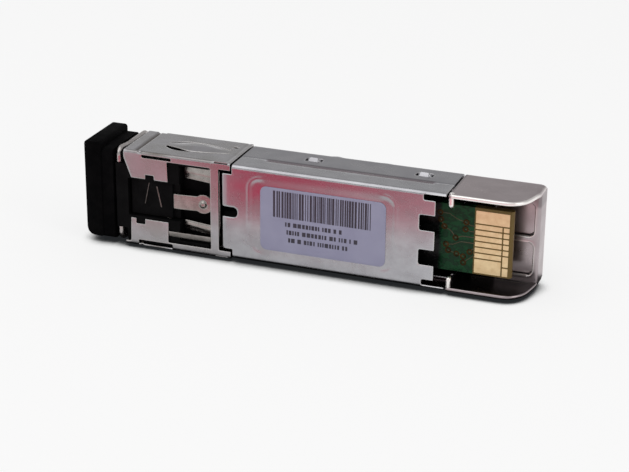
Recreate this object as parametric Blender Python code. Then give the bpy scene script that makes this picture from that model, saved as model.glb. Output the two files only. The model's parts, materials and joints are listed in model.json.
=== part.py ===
"""Small pluggable optical transceiver, standing on one narrow side.

Frame: +X runs from the optical nose to the electrical rear end, the label face looks to -Y,
and +Z runs across the width. Sizes below are in millimetres. A station is a distance in
front of the rear end, so a station s lies at x = -s in the module's own axes.
"""

import math

import bmesh
import bpy
from mathutils import Vector

MM = 0.001

# Outer sizes of the module.
module_length = 56.5        # rear end to the front edge of the nose
body_width = 13.4
body_depth = 8.5
nose_width = 13.7
nose_depth = 8.6
nose_length = 15.6
rear_length = 10.9          # length of the open cup around the board's contacts

# Sheet metal.
cover_wall = 0.3
cup_wall = 0.55
nose_wall = 0.25
bend_radius = 0.5
seam_gap = 0.2              # between sheet parts that meet edge to edge
fit_gap = 0.15              # between a part and the space that it sits in
touch_gap = 0.05            # between faces that rest on each other
cutter_reach = 1.0          # how far a cutting tool reaches past what it cuts
lap = 0.5                   # how far shapes that are joined run into each other

# Label cover.
flange_depth = 3.55         # how far its flanges reach down the narrow sides
cover_setback = 1.6         # bare stretch between the cover's face and the cup
notch_size = 2.1
notch_pitch = 4.8
cover_slot_length = 2.2
cover_slot_width = 1.4
corner_strip = 1.05         # width of the nose strips beside the cover's front tongue
cover_front_gap = 0.5       # between the cover's face and the nose's bar

# Snap tongues of the label cover, seen through windows of the main shell.
tongue_front_setback = 9.5  # front tongues behind the shell's front edge
tongue_rear_setback = 4.7   # rear tongues in front of the shell's rear edge
tongue_width = 2.3
barb_depth = 5.2            # depth of the barb's catching edge
barb_length = 1.3
barb_height = 0.27

# Rear cup.
skirt_chamfer = 1.6
skirt_chamfer_start = 2.3
shelf_depth = 5.25          # the shelf that the host's connector slides over
shelf_length = 9.0
shelf_wall = 0.4
shelf_window_inner = 0.45
shelf_window_outer = 5.0
shelf_window_length = 5.2
shelf_rim = 0.65
hook_reach = 1.95
hook_depth = 1.1

# Circuit board.
board_width = 9.2
board_thickness = 1.0
board_depth = 2.25          # label face plane to the board's near face
board_setback = 2.75        # board edge to the rear end
board_bevel = 0.3
board_front_gap = 0.7       # between the nose and the board's front edge

# Frame that carries the board.
frame_ledge = 0.8
frame_floor = 0.5

# Optical ports and the transmitter and receiver behind them.
port_pitch = 6.25
port_width = 4.6
port_floor = 0.5            # plastic between the latch pocket and the ports
port_roof = 0.3             # plastic between the ports and the far wall
housing_front = 1.4         # how far the black housing stands out of the nose
housing_overlap = 0.7       # reach of the barrel bores behind the barrels
port_wall = 1.4
sleeve_diameter = 2.9
sleeve_bore = 1.3
sleeve_length = 4.0         # reach of the sleeve into the port
barrel_length = 2.5
can_length = 2.6
can_step = 0.5              # a can's diameter is this much under its barrel's
header_length = 1.0
optics_gap = 0.1
clip_thickness = 0.5
lead_width = 1.6
lead_thickness = 0.2
lead_loop = 1.0             # from a header to the board's front edge
lead_overlap = 2.6          # soldered length on the board
lead_reach = 1.2            # how far the leads pass the optical axis

# Nose shield windows and spring fingers.
tab_length = 6.5            # length of the two tabs folded over the label face
tab_reach = 3.9             # how far each tab folds over the label face
bar_width = 1.2
bar_setback = 1.7           # bar's rear edge in front of the nose's rear edge
finger_length = 9.4
finger_width = 2.2
finger_bulge = 0.38
finger_rear = 1.5

# Latch.
pin_reach = 0.9             # reach of the lever's pin into the housing
lever_setback = 6.1         # lever's pivot behind the nose's front edge
lever_pivot_depth = 1.45
lever_front_length = 5.4
lever_rear_length = 1.7
lever_width = 5.0
lever_thickness = 1.1
pin_diameter = 0.8
pocket_floor = 2.4
latch_width = 2.3
latch_thickness = 0.3
latch_rise = 0.55           # how much nearer the latch's rear end lies than its front
boss_diameter = 1.5
boss_height = 0.4
spring_inner = 3.2
spring_outer = 5.1
spring_thickness = 0.25

# Bail.
wire_diameter = 0.8
bail_gap = 0.3              # between the nose's front edge and the wire
bail_pivot_depth = 0.9
bail_bar_gap = 0.4          # nose's far face to the cross bar's centre line
bail_pin_reach = 1.65
bail_bend = 0.9

# Dust plug.
plug_plate_thickness = 2.5
plug_plate_margin = 0.05    # plate's height beyond the nose's width
plug_plate_offset = 0.48    # the plate's centre lies off the module's centre line
plug_plate_lift = 0.1       # plate's reach past the nose's far face
plug_plate_round = 1.2      # lower front edge
plug_plate_softening = 0.4
plug_neck_length = 1.7
plug_neck_inset = 0.35
plug_neck_gap = 0.3         # housing's front face to the neck
plug_prong_gap = 0.2
plug_prong_end = 1.9        # prong ends to the ports' inner ends
plug_prong_wall = 0.55

# Label.
label_front_margin = 5.5    # label to the cover's front edge
label_rear_margin = 6.6     # label to the cover's rear edge
label_height = 9.0
label_offset = -0.15
label_thickness = 0.1
label_gap = 0.02
label_radius = 0.9

# Chips on the board's far face.
chip_height = 0.9
chip_gap = 0.05
small_chip = 3.0
large_chip = 4.0

half_body = body_width / 2
half_nose = nose_width / 2
nose_rear = module_length - nose_length
shell_front = nose_rear - seam_gap
shell_rear = rear_length + seam_gap
cover_face_rear = rear_length + cover_setback
bar_rear = nose_rear + bar_setback
bar_front = bar_rear + bar_width
cover_face_front = bar_rear - cover_front_gap
front_tongue_station = shell_front - tongue_front_setback
rear_tongue_station = shell_rear + tongue_rear_setback
tab_rear_station = module_length - tab_length
lever_pivot_station = module_length - lever_setback
pin_bore = pin_diameter + 4 * touch_gap
board_front_station = nose_rear - board_front_gap
header_rear_station = board_front_station + lead_loop
can_rear_station = header_rear_station + header_length
can_front_station = can_rear_station + can_length
flange_rear_station = can_front_station + optics_gap
flange_front_station = flange_rear_station + barrel_length
sleeve_wall_rear = flange_front_station + fit_gap
port_end = sleeve_wall_rear + port_wall
housing_front_station = module_length + housing_front
housing_rear_station = flange_rear_station - housing_overlap
housing_far = nose_depth - nose_wall - fit_gap
port_near = pocket_floor + port_floor
port_far = housing_far - port_roof
port_depth = (port_near + port_far) / 2
barrel_diameter = port_far - port_near
can_diameter = barrel_diameter - can_step
header_diameter = barrel_diameter - optics_gap
finger_depth = nose_depth / 2
bail_station = module_length + bail_gap + wire_diameter / 2
bail_bar_depth = nose_depth + bail_bar_gap
plug_neck_rear = housing_front_station + plug_neck_gap
plug_plate_rear = plug_neck_rear + plug_neck_length
plug_front = plug_plate_rear + plug_plate_thickness
lowest_point = -(half_nose + finger_bulge)
nearest_point = -(label_thickness + label_gap)
farthest_point = bail_bar_depth + wire_diameter / 2

FACETS = 20


def clear_scene():
    """Remove whatever the scene held."""
    for old in list(bpy.data.objects):
        bpy.data.objects.remove(old, do_unlink=True)


def material(name, colour, roughness, metallic):
    """Principled material with one base colour."""
    made = bpy.data.materials.new(name)
    made.use_nodes = True
    shader = made.node_tree.nodes["Principled BSDF"]
    shader.inputs["Base Color"].default_value = (*colour, 1.0)
    shader.inputs["Roughness"].default_value = roughness
    shader.inputs["Metallic"].default_value = metallic
    return made


def place(name, mesh_or_curve, finish=None):
    """Link an object under the module's frame and give it its material."""
    made = bpy.data.objects.new(name, mesh_or_curve)
    bpy.context.scene.collection.objects.link(made)
    made.parent = module_frame
    if finish is not None:
        mesh_or_curve.materials.append(finish)
    return made


def mesh_object(name, shape, finish=None):
    """Turn a bmesh in module axes into an object."""
    bmesh.ops.recalc_face_normals(shape, faces=shape.faces)
    mesh = bpy.data.meshes.new(name)
    shape.to_mesh(mesh)
    shape.free()
    return place(name, mesh, finish)


def prism(name, outline, axis, low, high, finish=None):
    """Closed prism: a flat outline in mm pushed along one axis.

    The outline holds (y, z) pairs along X, (x, z) pairs along Y and (x, y) pairs along Z.
    """
    def point(a, b, along):
        spots = {"X": (along, a, b), "Y": (a, along, b), "Z": (a, b, along)}
        return Vector(spots[axis]) * MM

    shape = bmesh.new()
    base = [shape.verts.new(point(a, b, low)) for a, b in outline]
    face = shape.faces.new(base)
    pushed = bmesh.ops.extrude_face_region(shape, geom=[face])
    moved = [item for item in pushed["geom"] if isinstance(item, bmesh.types.BMVert)]
    bmesh.ops.translate(shape, vec=point(0, 0, high - low), verts=moved)
    return mesh_object(name, shape, finish)


def box(name, x, y, z, finish=None):
    """Box between two stations or x values, two depths and two heights."""
    outline = [(x[0], y[0]), (x[1], y[0]), (x[1], y[1]), (x[0], y[1])]
    return prism(name, outline, "Z", z[0], z[1], finish)


def rounded_outline(low_a, high_a, low_b, high_b, radius, steps=3):
    """Rectangle with round corners, as a list of points.

    One radius serves all corners, or four go round from the high corner, turning from a to b.
    """
    radii = radius if isinstance(radius, tuple) else (radius,) * 4
    corners = ((high_a, high_b, -1, -1), (low_a, high_b, 1, -1),
               (low_a, low_b, 1, 1), (high_a, low_b, -1, 1))
    points = []
    for quarter, (corner_a, corner_b, way_a, way_b) in enumerate(corners):
        radius = radii[quarter]
        centre_a = corner_a + way_a * radius
        centre_b = corner_b + way_b * radius
        for step in range(steps + 1):
            angle = (quarter + step / steps) * math.pi / 2
            points.append((centre_a + radius * math.cos(angle), centre_b + radius * math.sin(angle)))
    return points


def channel_outline(face, edge, half, wall, radius, steps=3):
    """Bent sheet channel in (y, z): a face at one depth and two flanges that end at another."""
    way = 1 if edge > face else -1
    inner_radius = max(radius - wall, 0.05)

    def corner(depth, height, size):
        arc = []
        for step in range(steps + 1):
            angle = step / steps * math.pi / 2
            arc.append((depth + way * size * (1 - math.sin(angle)), height - size * (1 - math.cos(angle))))
        return arc

    outer = [(edge, half)] + corner(face, half, radius)
    inner = [(edge, half - wall)] + corner(face + way * wall, half - wall, inner_radius)
    outer_full = outer + [(depth, -height) for depth, height in reversed(outer)]
    inner_full = inner + [(depth, -height) for depth, height in reversed(inner)]
    return outer_full + list(reversed(inner_full))


def turned(name, profile, depth, height, finish=None, segments=FACETS):
    """Body turned about an axis along X; the profile holds (x, radius) pairs and closes itself."""
    shape = bmesh.new()
    rings = []
    for x, radius in profile:
        if radius == 0:
            rings.append([shape.verts.new(Vector((x, depth, height)) * MM)])
            continue
        ring = []
        for step in range(segments):
            angle = (step + 0.5) / segments * 2 * math.pi
            spot = Vector((x, depth + radius * math.cos(angle), height + radius * math.sin(angle)))
            ring.append(shape.verts.new(spot * MM))
        rings.append(ring)
    closed = all(radius > 0 for _, radius in profile)
    pairs = list(zip(rings, rings[1:] + rings[:1])) if closed else list(zip(rings, rings[1:]))
    for first, second in pairs:
        for step in range(segments):
            after = (step + 1) % segments
            corners = [first[step % len(first)], first[after % len(first)],
                       second[after % len(second)], second[step % len(second)]]
            shape.faces.new(list(dict.fromkeys(corners)))
    made = mesh_object(name, shape, finish)
    made.data.shade_smooth()
    made.data.set_sharp_from_angle(angle=math.radians(40))
    return made


def bore(name, front, rear, radius, height):
    """Cutting tool for a round bore on an optical axis."""
    return turned(name, [(front, 0), (front, radius), (rear, radius), (rear, 0)], port_depth, height)


def round_bar(name, x, depth, low, high, diameter, finish=None):
    """Round bar along Z."""
    outline = []
    for step in range(FACETS):
        angle = step / FACETS * 2 * math.pi
        outline.append((x + diameter / 2 * math.cos(angle), depth + diameter / 2 * math.sin(angle)))
    return prism(name, outline, "Z", low, high, finish)


def combine(target, tools, operation):
    """Boolean the tools into or out of the target and hide the tools."""
    for tool in tools:
        step = target.modifiers.new(tool.name, "BOOLEAN")
        step.operation = operation
        step.solver = "EXACT"
        step.object = tool
        tool.hide_render = True
        tool.display_type = "WIRE"


def cut(target, *tools):
    combine(target, tools, "DIFFERENCE")


def fuse(target, *tools):
    combine(target, tools, "UNION")


def make_label_cover(steel):
    """Channel over the label face, with notches, a corner relief and four snap tongues."""
    tongue_thickness = 0.25
    tongue_inset = 0.07         # inner wall face to the tongue
    tongue_root = 1.2           # joint of a tongue on its flange
    tongue_tail = 0.4           # tongue beyond its barb
    barb_undercut = 0.08
    outline = channel_outline(0, flange_depth, half_body, cover_wall, bend_radius)
    cover = prism("label_cover", outline, "X", -cover_face_front, -shell_rear, steel)
    inside = half_body - cover_wall - touch_gap
    tongue_half = half_nose - corner_strip - 2 * seam_gap
    across = (-cutter_reach, cover_wall + cutter_reach)
    cutters = [box("cover_rear_cut", (-cover_face_rear, cutter_reach), across, (-inside, inside))]
    for side in (-1, 1):
        edge = sorted((side * tongue_half, side * (half_body + cutter_reach)))
        cutters.append(box("cover_corner_cut", (-cover_face_front - cutter_reach, -shell_front),
                           (-cutter_reach, flange_depth + cutter_reach), edge))
        notch = sorted((side * (notch_pitch - notch_size) / 2, side * (notch_pitch + notch_size) / 2))
        cutters.append(box("cover_notch", (-cover_face_rear - notch_size, cutter_reach), across, notch))
        relief = sorted((side * (inside - bend_radius), side * inside))
        cutters.append(box("cover_relief", (-cover_face_rear - notch_size, cutter_reach), across, relief))
    slot_stations = (-cover_face_front - cutter_reach, -cover_face_front + cover_slot_length)
    cutters.append(box("cover_slot", slot_stations, across, (-cover_slot_width / 2, cover_slot_width / 2)))
    cut(cover, *cutters)
    outside = half_body - cover_wall - tongue_inset
    inner = outside - tongue_thickness
    lapped = outside + seam_gap
    reach = barb_depth + barb_length + tongue_tail
    root = flange_depth - 2 * touch_gap
    tongue = [(root - tongue_root, inner), (reach, inner), (reach, outside),
              (barb_depth + barb_length, outside), (barb_depth + barb_undercut, outside + barb_height),
              (barb_depth, outside), (root, outside), (root, lapped), (root - tongue_root, lapped)]
    tongues = []
    for station in (front_tongue_station, rear_tongue_station):
        for side in (-1, 1):
            mirrored = [(depth, side * height) for depth, height in tongue]
            tongues.append(prism("cover_tongue", mirrored, "X", -station - tongue_width / 2,
                                 -station + tongue_width / 2))
    fuse(cover, *tongues)


def make_main_shell(steel):
    """Channel over the far face, with a window over each snap tongue."""
    near_margin = 0.2
    far_margin = 0.1
    outline = channel_outline(body_depth, flange_depth + seam_gap, half_body, cover_wall, bend_radius)
    shell = prism("main_shell", outline, "X", -shell_front, -shell_rear, steel)
    cutters = []
    for station in (front_tongue_station, rear_tongue_station):
        half = tongue_width / 2 + 2 * fit_gap
        for side in (-1, 1):
            span = sorted((side * (half_body - cutter_reach), side * (half_body + cutter_reach)))
            near = barb_depth - near_margin
            far = barb_depth + barb_length + far_margin
            cutters.append(box("shell_window", (-station - half, -station + half), (near, far), span))
    cut(shell, *cutters)


def make_rear_cup(steel):
    """Open cup around the contacts: far wall, two chamfered skirts with hooks, shelf and end wall."""
    outline = channel_outline(body_depth, 0, half_body, cup_wall, bend_radius)
    cup = prism("rear_cup", outline, "X", -rear_length, 0, steel)
    slope = skirt_chamfer_start - skirt_chamfer
    corner = [(-skirt_chamfer_start, -cutter_reach), (cutter_reach, -cutter_reach),
              (cutter_reach, shelf_depth), (0, shelf_depth),
              (-slope, skirt_chamfer), (-skirt_chamfer_start, 0)]
    side = half_body + cutter_reach
    cut(cup, prism("skirt_cut", corner, "Z", -side, side))
    inner = half_body - cup_wall / 2
    shelf_far = shelf_depth + shelf_wall
    shelf = box("cup_shelf", (-shelf_length, -shelf_wall / 2), (shelf_depth, shelf_far), (-inner, inner))
    wall = box("cup_end_wall", (-shelf_wall, 0), (shelf_depth, body_depth - cup_wall / 2), (-inner, inner))
    hooks = []
    for side in (-1, 1):
        span = sorted((side * (half_body - hook_reach), side * inner))
        hooks.append(box("cup_hook", (-rear_length, -rear_length + cup_wall), (touch_gap, hook_depth), span))
    fuse(cup, shelf, wall, *hooks)
    windows = []
    for side in (-1, 1):
        low, high = sorted((side * shelf_window_inner, side * shelf_window_outer))
        opening = rounded_outline(-shelf_rim - shelf_window_length, -shelf_rim, low, high,
                                  bend_radius)
        windows.append(prism("shelf_window", opening, "Y", shelf_depth - shelf_wall, shelf_far + shelf_wall))
    cut(cup, *windows)


def finger_outline(front, rear, surface, side, steps=8):
    """Arched strip in profile: pairs of a place along X and a height, bulging away from the wall."""
    rise = 0.03  # its ends stand this far off the wall
    root_depth = 0.2
    outer = []
    inner = []
    for step in range(steps + 1):
        share = step / steps
        lift = finger_bulge * math.sin(share * math.pi) ** 2
        place_x = front + share * (rear - front)
        outer.append((place_x, side * (surface + max(lift, rise))))
        inner.append((place_x, side * (surface - root_depth + lift)))
    return outer + list(reversed(inner))


def make_nose_shield(steel):
    """Thin shield around the ports: folded tabs, window, bar and bulged spring fingers."""
    uncut = 0.7  # strip at each end of a finger's slot
    slit = 0.25
    outer = rounded_outline(0, nose_depth, -half_nose, half_nose, bend_radius)
    shield = prism("nose_shield", outer, "X", -module_length, -nose_rear, steel)
    inner = rounded_outline(nose_wall, nose_depth - nose_wall, -half_nose + nose_wall,
                            half_nose - nose_wall, bend_radius - nose_wall)
    tab_edge = half_nose - tab_reach
    strip_edge = half_nose - corner_strip
    near = (-cutter_reach, nose_wall + cutter_reach)
    throat_rear = -tab_rear_station + lap
    cut(shield, prism("nose_space", inner, "X", -module_length - cutter_reach, -nose_rear + cutter_reach),
        box("nose_front_window", (-module_length - cutter_reach, throat_rear), near, (-tab_edge, tab_edge)),
        box("nose_window", (-tab_rear_station, -bar_front), near, (-strip_edge, strip_edge)),
        box("nose_rear_gap", (-bar_rear, -nose_rear + cutter_reach), near, (-strip_edge, strip_edge)))
    rear = -nose_rear - finger_rear
    front = rear - finger_length
    slots = []
    fingers = []
    half = finger_width / 2
    slot_half = half + slit
    slot_span = (front + uncut, rear - uncut)
    for side in (-1, 1):
        span = sorted((side * (half_nose - cutter_reach), side * (half_nose + cutter_reach)))
        slots.append(box("side_slot", slot_span, (finger_depth - slot_half, finger_depth + slot_half), span))
        outline = finger_outline(front, rear, half_nose, side)
        fingers.append(prism("side_finger", outline, "Y", finger_depth - half, finger_depth + half))
        middle = side * port_pitch / 2
        slots.append(box("far_slot", slot_span, (nose_depth - cutter_reach, nose_depth + cutter_reach),
                         (middle - slot_half, middle + slot_half)))
        outline = finger_outline(front, rear, nose_depth, 1)
        fingers.append(prism("far_finger", outline, "Z", middle - half, middle + half))
    cut(shield, *slots)
    fuse(shield, *fingers)


def make_housing(plastic):
    """Black housing with two ports, a bore for each optical module, and the latch pocket."""
    lip_inset = 0.05
    channel_start = 0.4
    channel_depth = 0.55
    inner = half_nose - nose_wall - fit_gap
    near = nose_wall + fit_gap
    far = housing_far
    lip_half = half_nose - wire_diameter - 2 * fit_gap
    step = module_length - fit_gap
    housing = box("receptacle_housing", (-step, -housing_rear_station), (near, far), (-inner, inner),
                  plastic)
    lip = box("housing_lip", (-housing_front_station, -step + cutter_reach), (near, far - lip_inset),
              (-lip_half, lip_half))
    fuse(housing, lip)
    pin_inner = half_nose - wire_diameter / 2 - bail_pin_reach - fit_gap
    cutters = []
    for side in (-1, 1):
        middle = side * port_pitch / 2
        half = port_width / 2
        cutters.append(box("port", (-housing_front_station - cutter_reach, -port_end),
                           (port_near, port_far), (middle - half, middle + half)))
        cutters.append(bore("sleeve_hole", -port_end - cutter_reach, -sleeve_wall_rear + cutter_reach,
                            sleeve_diameter / 2 + fit_gap, middle))
        cutters.append(bore("barrel_bore", -sleeve_wall_rear, -housing_rear_station + cutter_reach,
                            barrel_diameter / 2 + fit_gap, middle))
        notch = sorted((side * pin_inner, side * (half_nose + cutter_reach)))
        cutters.append(box("pin_notch", (-housing_front_station - cutter_reach, -step),
                           (-cutter_reach, bail_pivot_depth + wire_diameter / 2 + fit_gap), notch))
    lever_half = lever_width / 2 + fit_gap
    lever_front = lever_pivot_station + lever_front_length + 2 * fit_gap
    lever_rear = lever_pivot_station - lever_rear_length - 2 * fit_gap
    behind = -housing_rear_station + cutter_reach
    cutters.append(box("lever_pocket", (-lever_front, -lever_rear + lap),
                       (-cutter_reach, pocket_floor), (-lever_half, lever_half)))
    spring_half = spring_outer + 2 * fit_gap
    cutters.append(box("spring_pocket", (-lever_rear - 2 * touch_gap, behind),
                       (-cutter_reach, pocket_floor + touch_gap), (-spring_half, spring_half)))
    latch_half = latch_width / 2 + 2 * fit_gap
    cutters.append(box("latch_channel", (-lever_rear - channel_start, behind),
                       (-cutter_reach, pocket_floor + channel_depth), (-latch_half, latch_half)))
    cutters.append(round_bar("pin_hole", -lever_pivot_station, lever_pivot_depth,
                             -lever_half - pin_reach, lever_half + pin_reach, pin_bore))
    cut(housing, *cutters)


def make_latch(plastic, steel):
    """Rocking lever, its pin, the steel latch tongue with its boss, and the two-legged spring."""
    seat_start = 0.7  # pivot to the step that seats the latch
    front_chamfer = 0.8
    front_edge = 0.4
    seat_gap = 0.1
    end_gap = 0.3
    clamp = 0.2  # flat stretch past the lever
    boss_setback = 0.5
    half = lever_width / 2
    front = -lever_pivot_station - lever_front_length
    rear = -lever_pivot_station + lever_rear_length
    top = lever_pivot_depth - lever_thickness / 2
    bottom = lever_pivot_depth + lever_thickness / 2
    seat = top + latch_thickness + touch_gap
    seat_front = -lever_pivot_station + seat_start
    outline = [(front, top), (seat_front, top), (seat_front, seat), (rear, seat), (rear, bottom),
               (front + front_chamfer, bottom), (front, top + front_edge)]
    lever = prism("latch_lever", outline, "Z", -half, half, plastic)
    cut(lever, round_bar("lever_bore", -lever_pivot_station, lever_pivot_depth, -half - cutter_reach,
                         half + cutter_reach, pin_bore))
    round_bar("lever_pin", -lever_pivot_station, lever_pivot_depth, -half - pin_reach, half + pin_reach,
              pin_diameter, steel)
    start = seat_front + seat_gap
    end = -bar_front - end_gap
    clamp_end = rear + clamp
    near_front = top
    near_rear = top - latch_rise * 0.2
    tongue = [(start, near_front), (clamp_end, near_front), (end, near_rear + latch_rise),
              (end, near_rear + latch_rise + latch_thickness),
              (clamp_end, near_front + latch_thickness), (start, near_front + latch_thickness)]
    plate = prism("latch_plate", tongue, "Z", -latch_width / 2, latch_width / 2, steel)
    boss_x = end - boss_diameter / 2 - boss_setback
    share = (boss_x - clamp_end) / (end - clamp_end)
    surface = near_front + share * (near_rear + latch_rise - near_front)
    boss = boss_dome("latch_boss", boss_x, surface)
    fuse(plate, boss)
    make_latch_spring(steel)


def make_latch_spring(steel):
    """Two spring legs beside the latch tongue, joined by a web under the nose's bar."""
    floor_gap = 0.1
    knee = 0.2  # in front of the nose's bar
    knee_depth = 0.5
    rear_depth = 0.3
    web_gap = 0.1
    leg_front = -lever_pivot_station + lever_rear_length + lap
    leg = [(leg_front, pocket_floor - spring_thickness - floor_gap),
           (-bar_front - knee, nose_wall + knee_depth),
           (-bar_rear, nose_wall + rear_depth)]
    leg += [(x, depth + spring_thickness) for x, depth in reversed(leg)]
    spring = prism("latch_spring", leg, "Z", -spring_outer, spring_outer, steel)
    gap = box("spring_gap", (-lever_pivot_station, -bar_front + web_gap),
              (-cutter_reach, pocket_floor + cutter_reach), (-spring_inner, spring_inner))
    cut(spring, gap)


def boss_dome(name, x, surface, levels=4):
    """Low dome on the latch tongue, standing toward -Y."""
    shape = bmesh.new()
    rings = []
    for level in range(levels):
        angle = level / levels * math.pi / 2
        radius = boss_diameter / 2 * math.cos(angle)
        depth = surface - boss_height * math.sin(angle)
        ring = []
        for step in range(FACETS):
            turn = step / FACETS * 2 * math.pi
            spot = Vector((x + radius * math.cos(turn), depth, radius * math.sin(turn)))
            ring.append(shape.verts.new(spot * MM))
        rings.append(ring)
    root = [shape.verts.new(vert.co + Vector((0, latch_thickness / 2 * MM, 0))) for vert in rings[0]]
    rings.insert(0, root)
    for first, second in zip(rings, rings[1:]):
        for step in range(FACETS):
            after = (step + 1) % FACETS
            shape.faces.new((first[step], first[after], second[after], second[step]))
    shape.faces.new(rings[-1])
    shape.faces.new(rings[0])
    return mesh_object(name, shape)


def bail_path(steps=4):
    """Points of the bail's centre line: pin, arm, cross bar, arm, pin, with round bends."""
    arm = half_nose - wire_diameter / 2
    corners = [(bail_pivot_depth, arm), (bail_bar_depth, arm),
               (bail_bar_depth, -arm), (bail_pivot_depth, -arm)]
    points = [(bail_pivot_depth, arm - bail_pin_reach)]
    before = points[0]
    for index, corner in enumerate(corners):
        after = corners[index + 1] if index + 1 < len(corners) else (bail_pivot_depth, -arm + bail_pin_reach)
        back = Vector(before) - Vector(corner)
        ahead = Vector(after) - Vector(corner)
        back.normalize()
        ahead.normalize()
        centre = Vector(corner) + bail_bend * (back + ahead)
        for step in range(steps + 1):
            angle = step / steps * math.pi / 2
            spot = centre - bail_bend * (ahead * math.cos(angle) + back * math.sin(angle))
            points.append(tuple(spot))
        before = corner
    points.append((bail_pivot_depth, -arm + bail_pin_reach))
    return points


def make_bail(steel):
    """Wire bail around the housing's front, hinged on its two turned-in ends."""
    curve = bpy.data.curves.new("bail_wire", "CURVE")
    curve.dimensions = "3D"
    curve.bevel_depth = wire_diameter / 2 * MM
    curve.bevel_resolution = 3
    curve.use_fill_caps = True
    spline = curve.splines.new("POLY")
    points = bail_path()
    spline.points.add(len(points) - 1)
    for spot, (depth, height) in zip(spline.points, points):
        spot.co = (0, (depth - bail_pivot_depth) * MM, height * MM, 1)
    bail = place("bail_wire", curve, steel)
    bail.location = Vector((-bail_station, bail_pivot_depth, 0)) * MM


def make_dust_plug(rubber):
    """Dust plug: grip plate, neck and two hollow prongs that fill the ports."""
    neck_near = 0.2
    neck_radius = 0.6
    web = 0.6  # neck behind the hollow of a prong
    middle = plug_plate_offset
    plate_half = half_nose + plug_plate_margin / 2
    soft = plug_plate_softening
    plate_outline = rounded_outline(-plug_front, -plug_plate_rear, middle - plate_half, middle + plate_half,
                                    (soft, soft, plug_plate_round, soft))
    plug = prism("dust_plug", plate_outline, "Y", 0, nose_depth + plug_plate_lift, rubber)
    bevel = plug.modifiers.new("soft_edges", "BEVEL")
    bevel.width = soft / 2 * MM
    bevel.segments = 2
    bevel.limit_method = "ANGLE"
    bevel.angle_limit = math.radians(50)
    neck_half = half_nose - plug_neck_inset
    neck_outline = rounded_outline(neck_near, nose_depth, -neck_half, neck_half, neck_radius)
    tools = [prism("plug_neck", neck_outline, "X", -plug_plate_rear - lap, -plug_neck_rear)]
    hollows = []
    for side in (-1, 1):
        centre = side * port_pitch / 2
        half = port_width / 2 - plug_prong_gap
        low = port_near + plug_prong_gap
        high = port_far - plug_prong_gap
        prong_rear = port_end + plug_prong_end
        tools.append(box("plug_prong", (-plug_neck_rear - lap, -prong_rear), (low, high),
                         (centre - half, centre + half)))
        wall = plug_prong_wall
        hollows.append(box("prong_hollow", (-plug_neck_rear + web, -prong_rear + cutter_reach),
                           (low + wall, high - wall), (centre - half + wall, centre + half - wall)))
    fuse(plug, *tools)
    cut(plug, *hollows)


def make_board(laminate, chip_black):
    """Circuit board with a bevelled contact edge and its chips."""
    first_row = 5.7             # behind the board's front edge
    second_row = 12.7
    third_row = 19.2
    pair_offset = 2.1
    memory_offset = 1.47
    near = board_depth
    far = board_depth + board_thickness
    rear = -board_setback
    outline = [(-board_front_station, near), (rear - board_bevel, near), (rear, near + board_bevel),
               (rear, far - board_bevel), (rear - board_bevel, far), (-board_front_station, far)]
    prism("circuit_board", outline, "Z", -board_width / 2, board_width / 2, laminate)
    chips = (("driver_chip", first_row, pair_offset, small_chip, small_chip),
             ("amplifier_chip", first_row, -pair_offset, small_chip, small_chip),
             ("memory_chip", second_row, memory_offset, small_chip, large_chip),
             ("controller_chip", third_row, 0, large_chip, large_chip))
    for name, setback, height, length, width in chips:
        station = board_front_station - setback
        seat = far + chip_gap
        box(name, (-station - length / 2, -station + length / 2), (seat, seat + chip_height),
            (height - width / 2, height + width / 2), chip_black)


def make_board_frame(plastic):
    """Tray between the sheet covers that carries the board on two ledges."""
    side_gap = 0.4
    end_gap = 0.3
    outer = half_body - cover_wall - side_gap
    rail = board_width / 2 + fit_gap
    ledge = rail - frame_ledge
    near = cover_wall + fit_gap
    far = body_depth - cover_wall - fit_gap
    top = board_depth + board_thickness + touch_gap
    half = [(near, outer), (near, rail), (top, rail), (top, ledge), (far - frame_floor, ledge)]
    outline = [(far, outer)] + half
    outline += [(depth, -height) for depth, height in reversed(half)]
    outline.append((far, -outer))
    end = -cover_face_rear - notch_size - end_gap
    prism("board_frame", outline, "X", -board_front_station, end, plastic)


def make_optics(barrel_metal, can_steel, film):
    """Transmitter and receiver: turned barrel with a sleeve, metal can and flexible leads."""
    side_gap = 0.45
    edge_gap = 0.6
    sleeve_front = port_end + sleeve_length
    film_front = header_rear_station - optics_gap
    board_far = board_depth + board_thickness + optics_gap
    for name, side in (("transmitter", 1), ("receiver", -1)):
        middle = side * port_pitch / 2
        barrel = [(-sleeve_front, sleeve_bore / 2), (-sleeve_front, sleeve_diameter / 2),
                  (-flange_front_station, sleeve_diameter / 2), (-flange_front_station, barrel_diameter / 2),
                  (-flange_rear_station, barrel_diameter / 2), (-flange_rear_station, sleeve_bore / 2)]
        turned(name + "_barrel", barrel, port_depth, middle, barrel_metal)
        can = [(-can_front_station, 0), (-can_front_station, can_diameter / 2),
               (-can_rear_station, can_diameter / 2), (-can_rear_station, header_diameter / 2),
               (-header_rear_station, header_diameter / 2), (-header_rear_station, 0)]
        turned(name + "_can", can, port_depth, middle, can_steel)
        half = lead_width / 2
        board_end = -board_front_station + lead_overlap
        film_rear = -film_front + lead_thickness
        film_far = board_far + lead_thickness
        lead_end = port_depth + lead_reach
        outline = [(-film_front, board_far), (board_end, board_far), (board_end, film_far),
                   (film_rear, film_far), (film_rear, lead_end), (-film_front, lead_end)]
        prism(name + "_leads", outline, "Z", middle - half, middle + half, film)
    clip_half = half_nose - nose_wall - side_gap
    clip_front = -housing_rear_station + fit_gap
    clip = box("optics_clip", (clip_front, clip_front + clip_thickness),
               (pocket_floor + edge_gap, housing_far), (-clip_half, clip_half), can_steel)
    front = clip_front - cutter_reach
    rear = clip_front + clip_thickness + cutter_reach
    radius = can_diameter / 2 + optics_gap
    cut(clip, *[bore("clip_hole", front, rear, radius, side * port_pitch / 2) for side in (-1, 1)])


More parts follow.
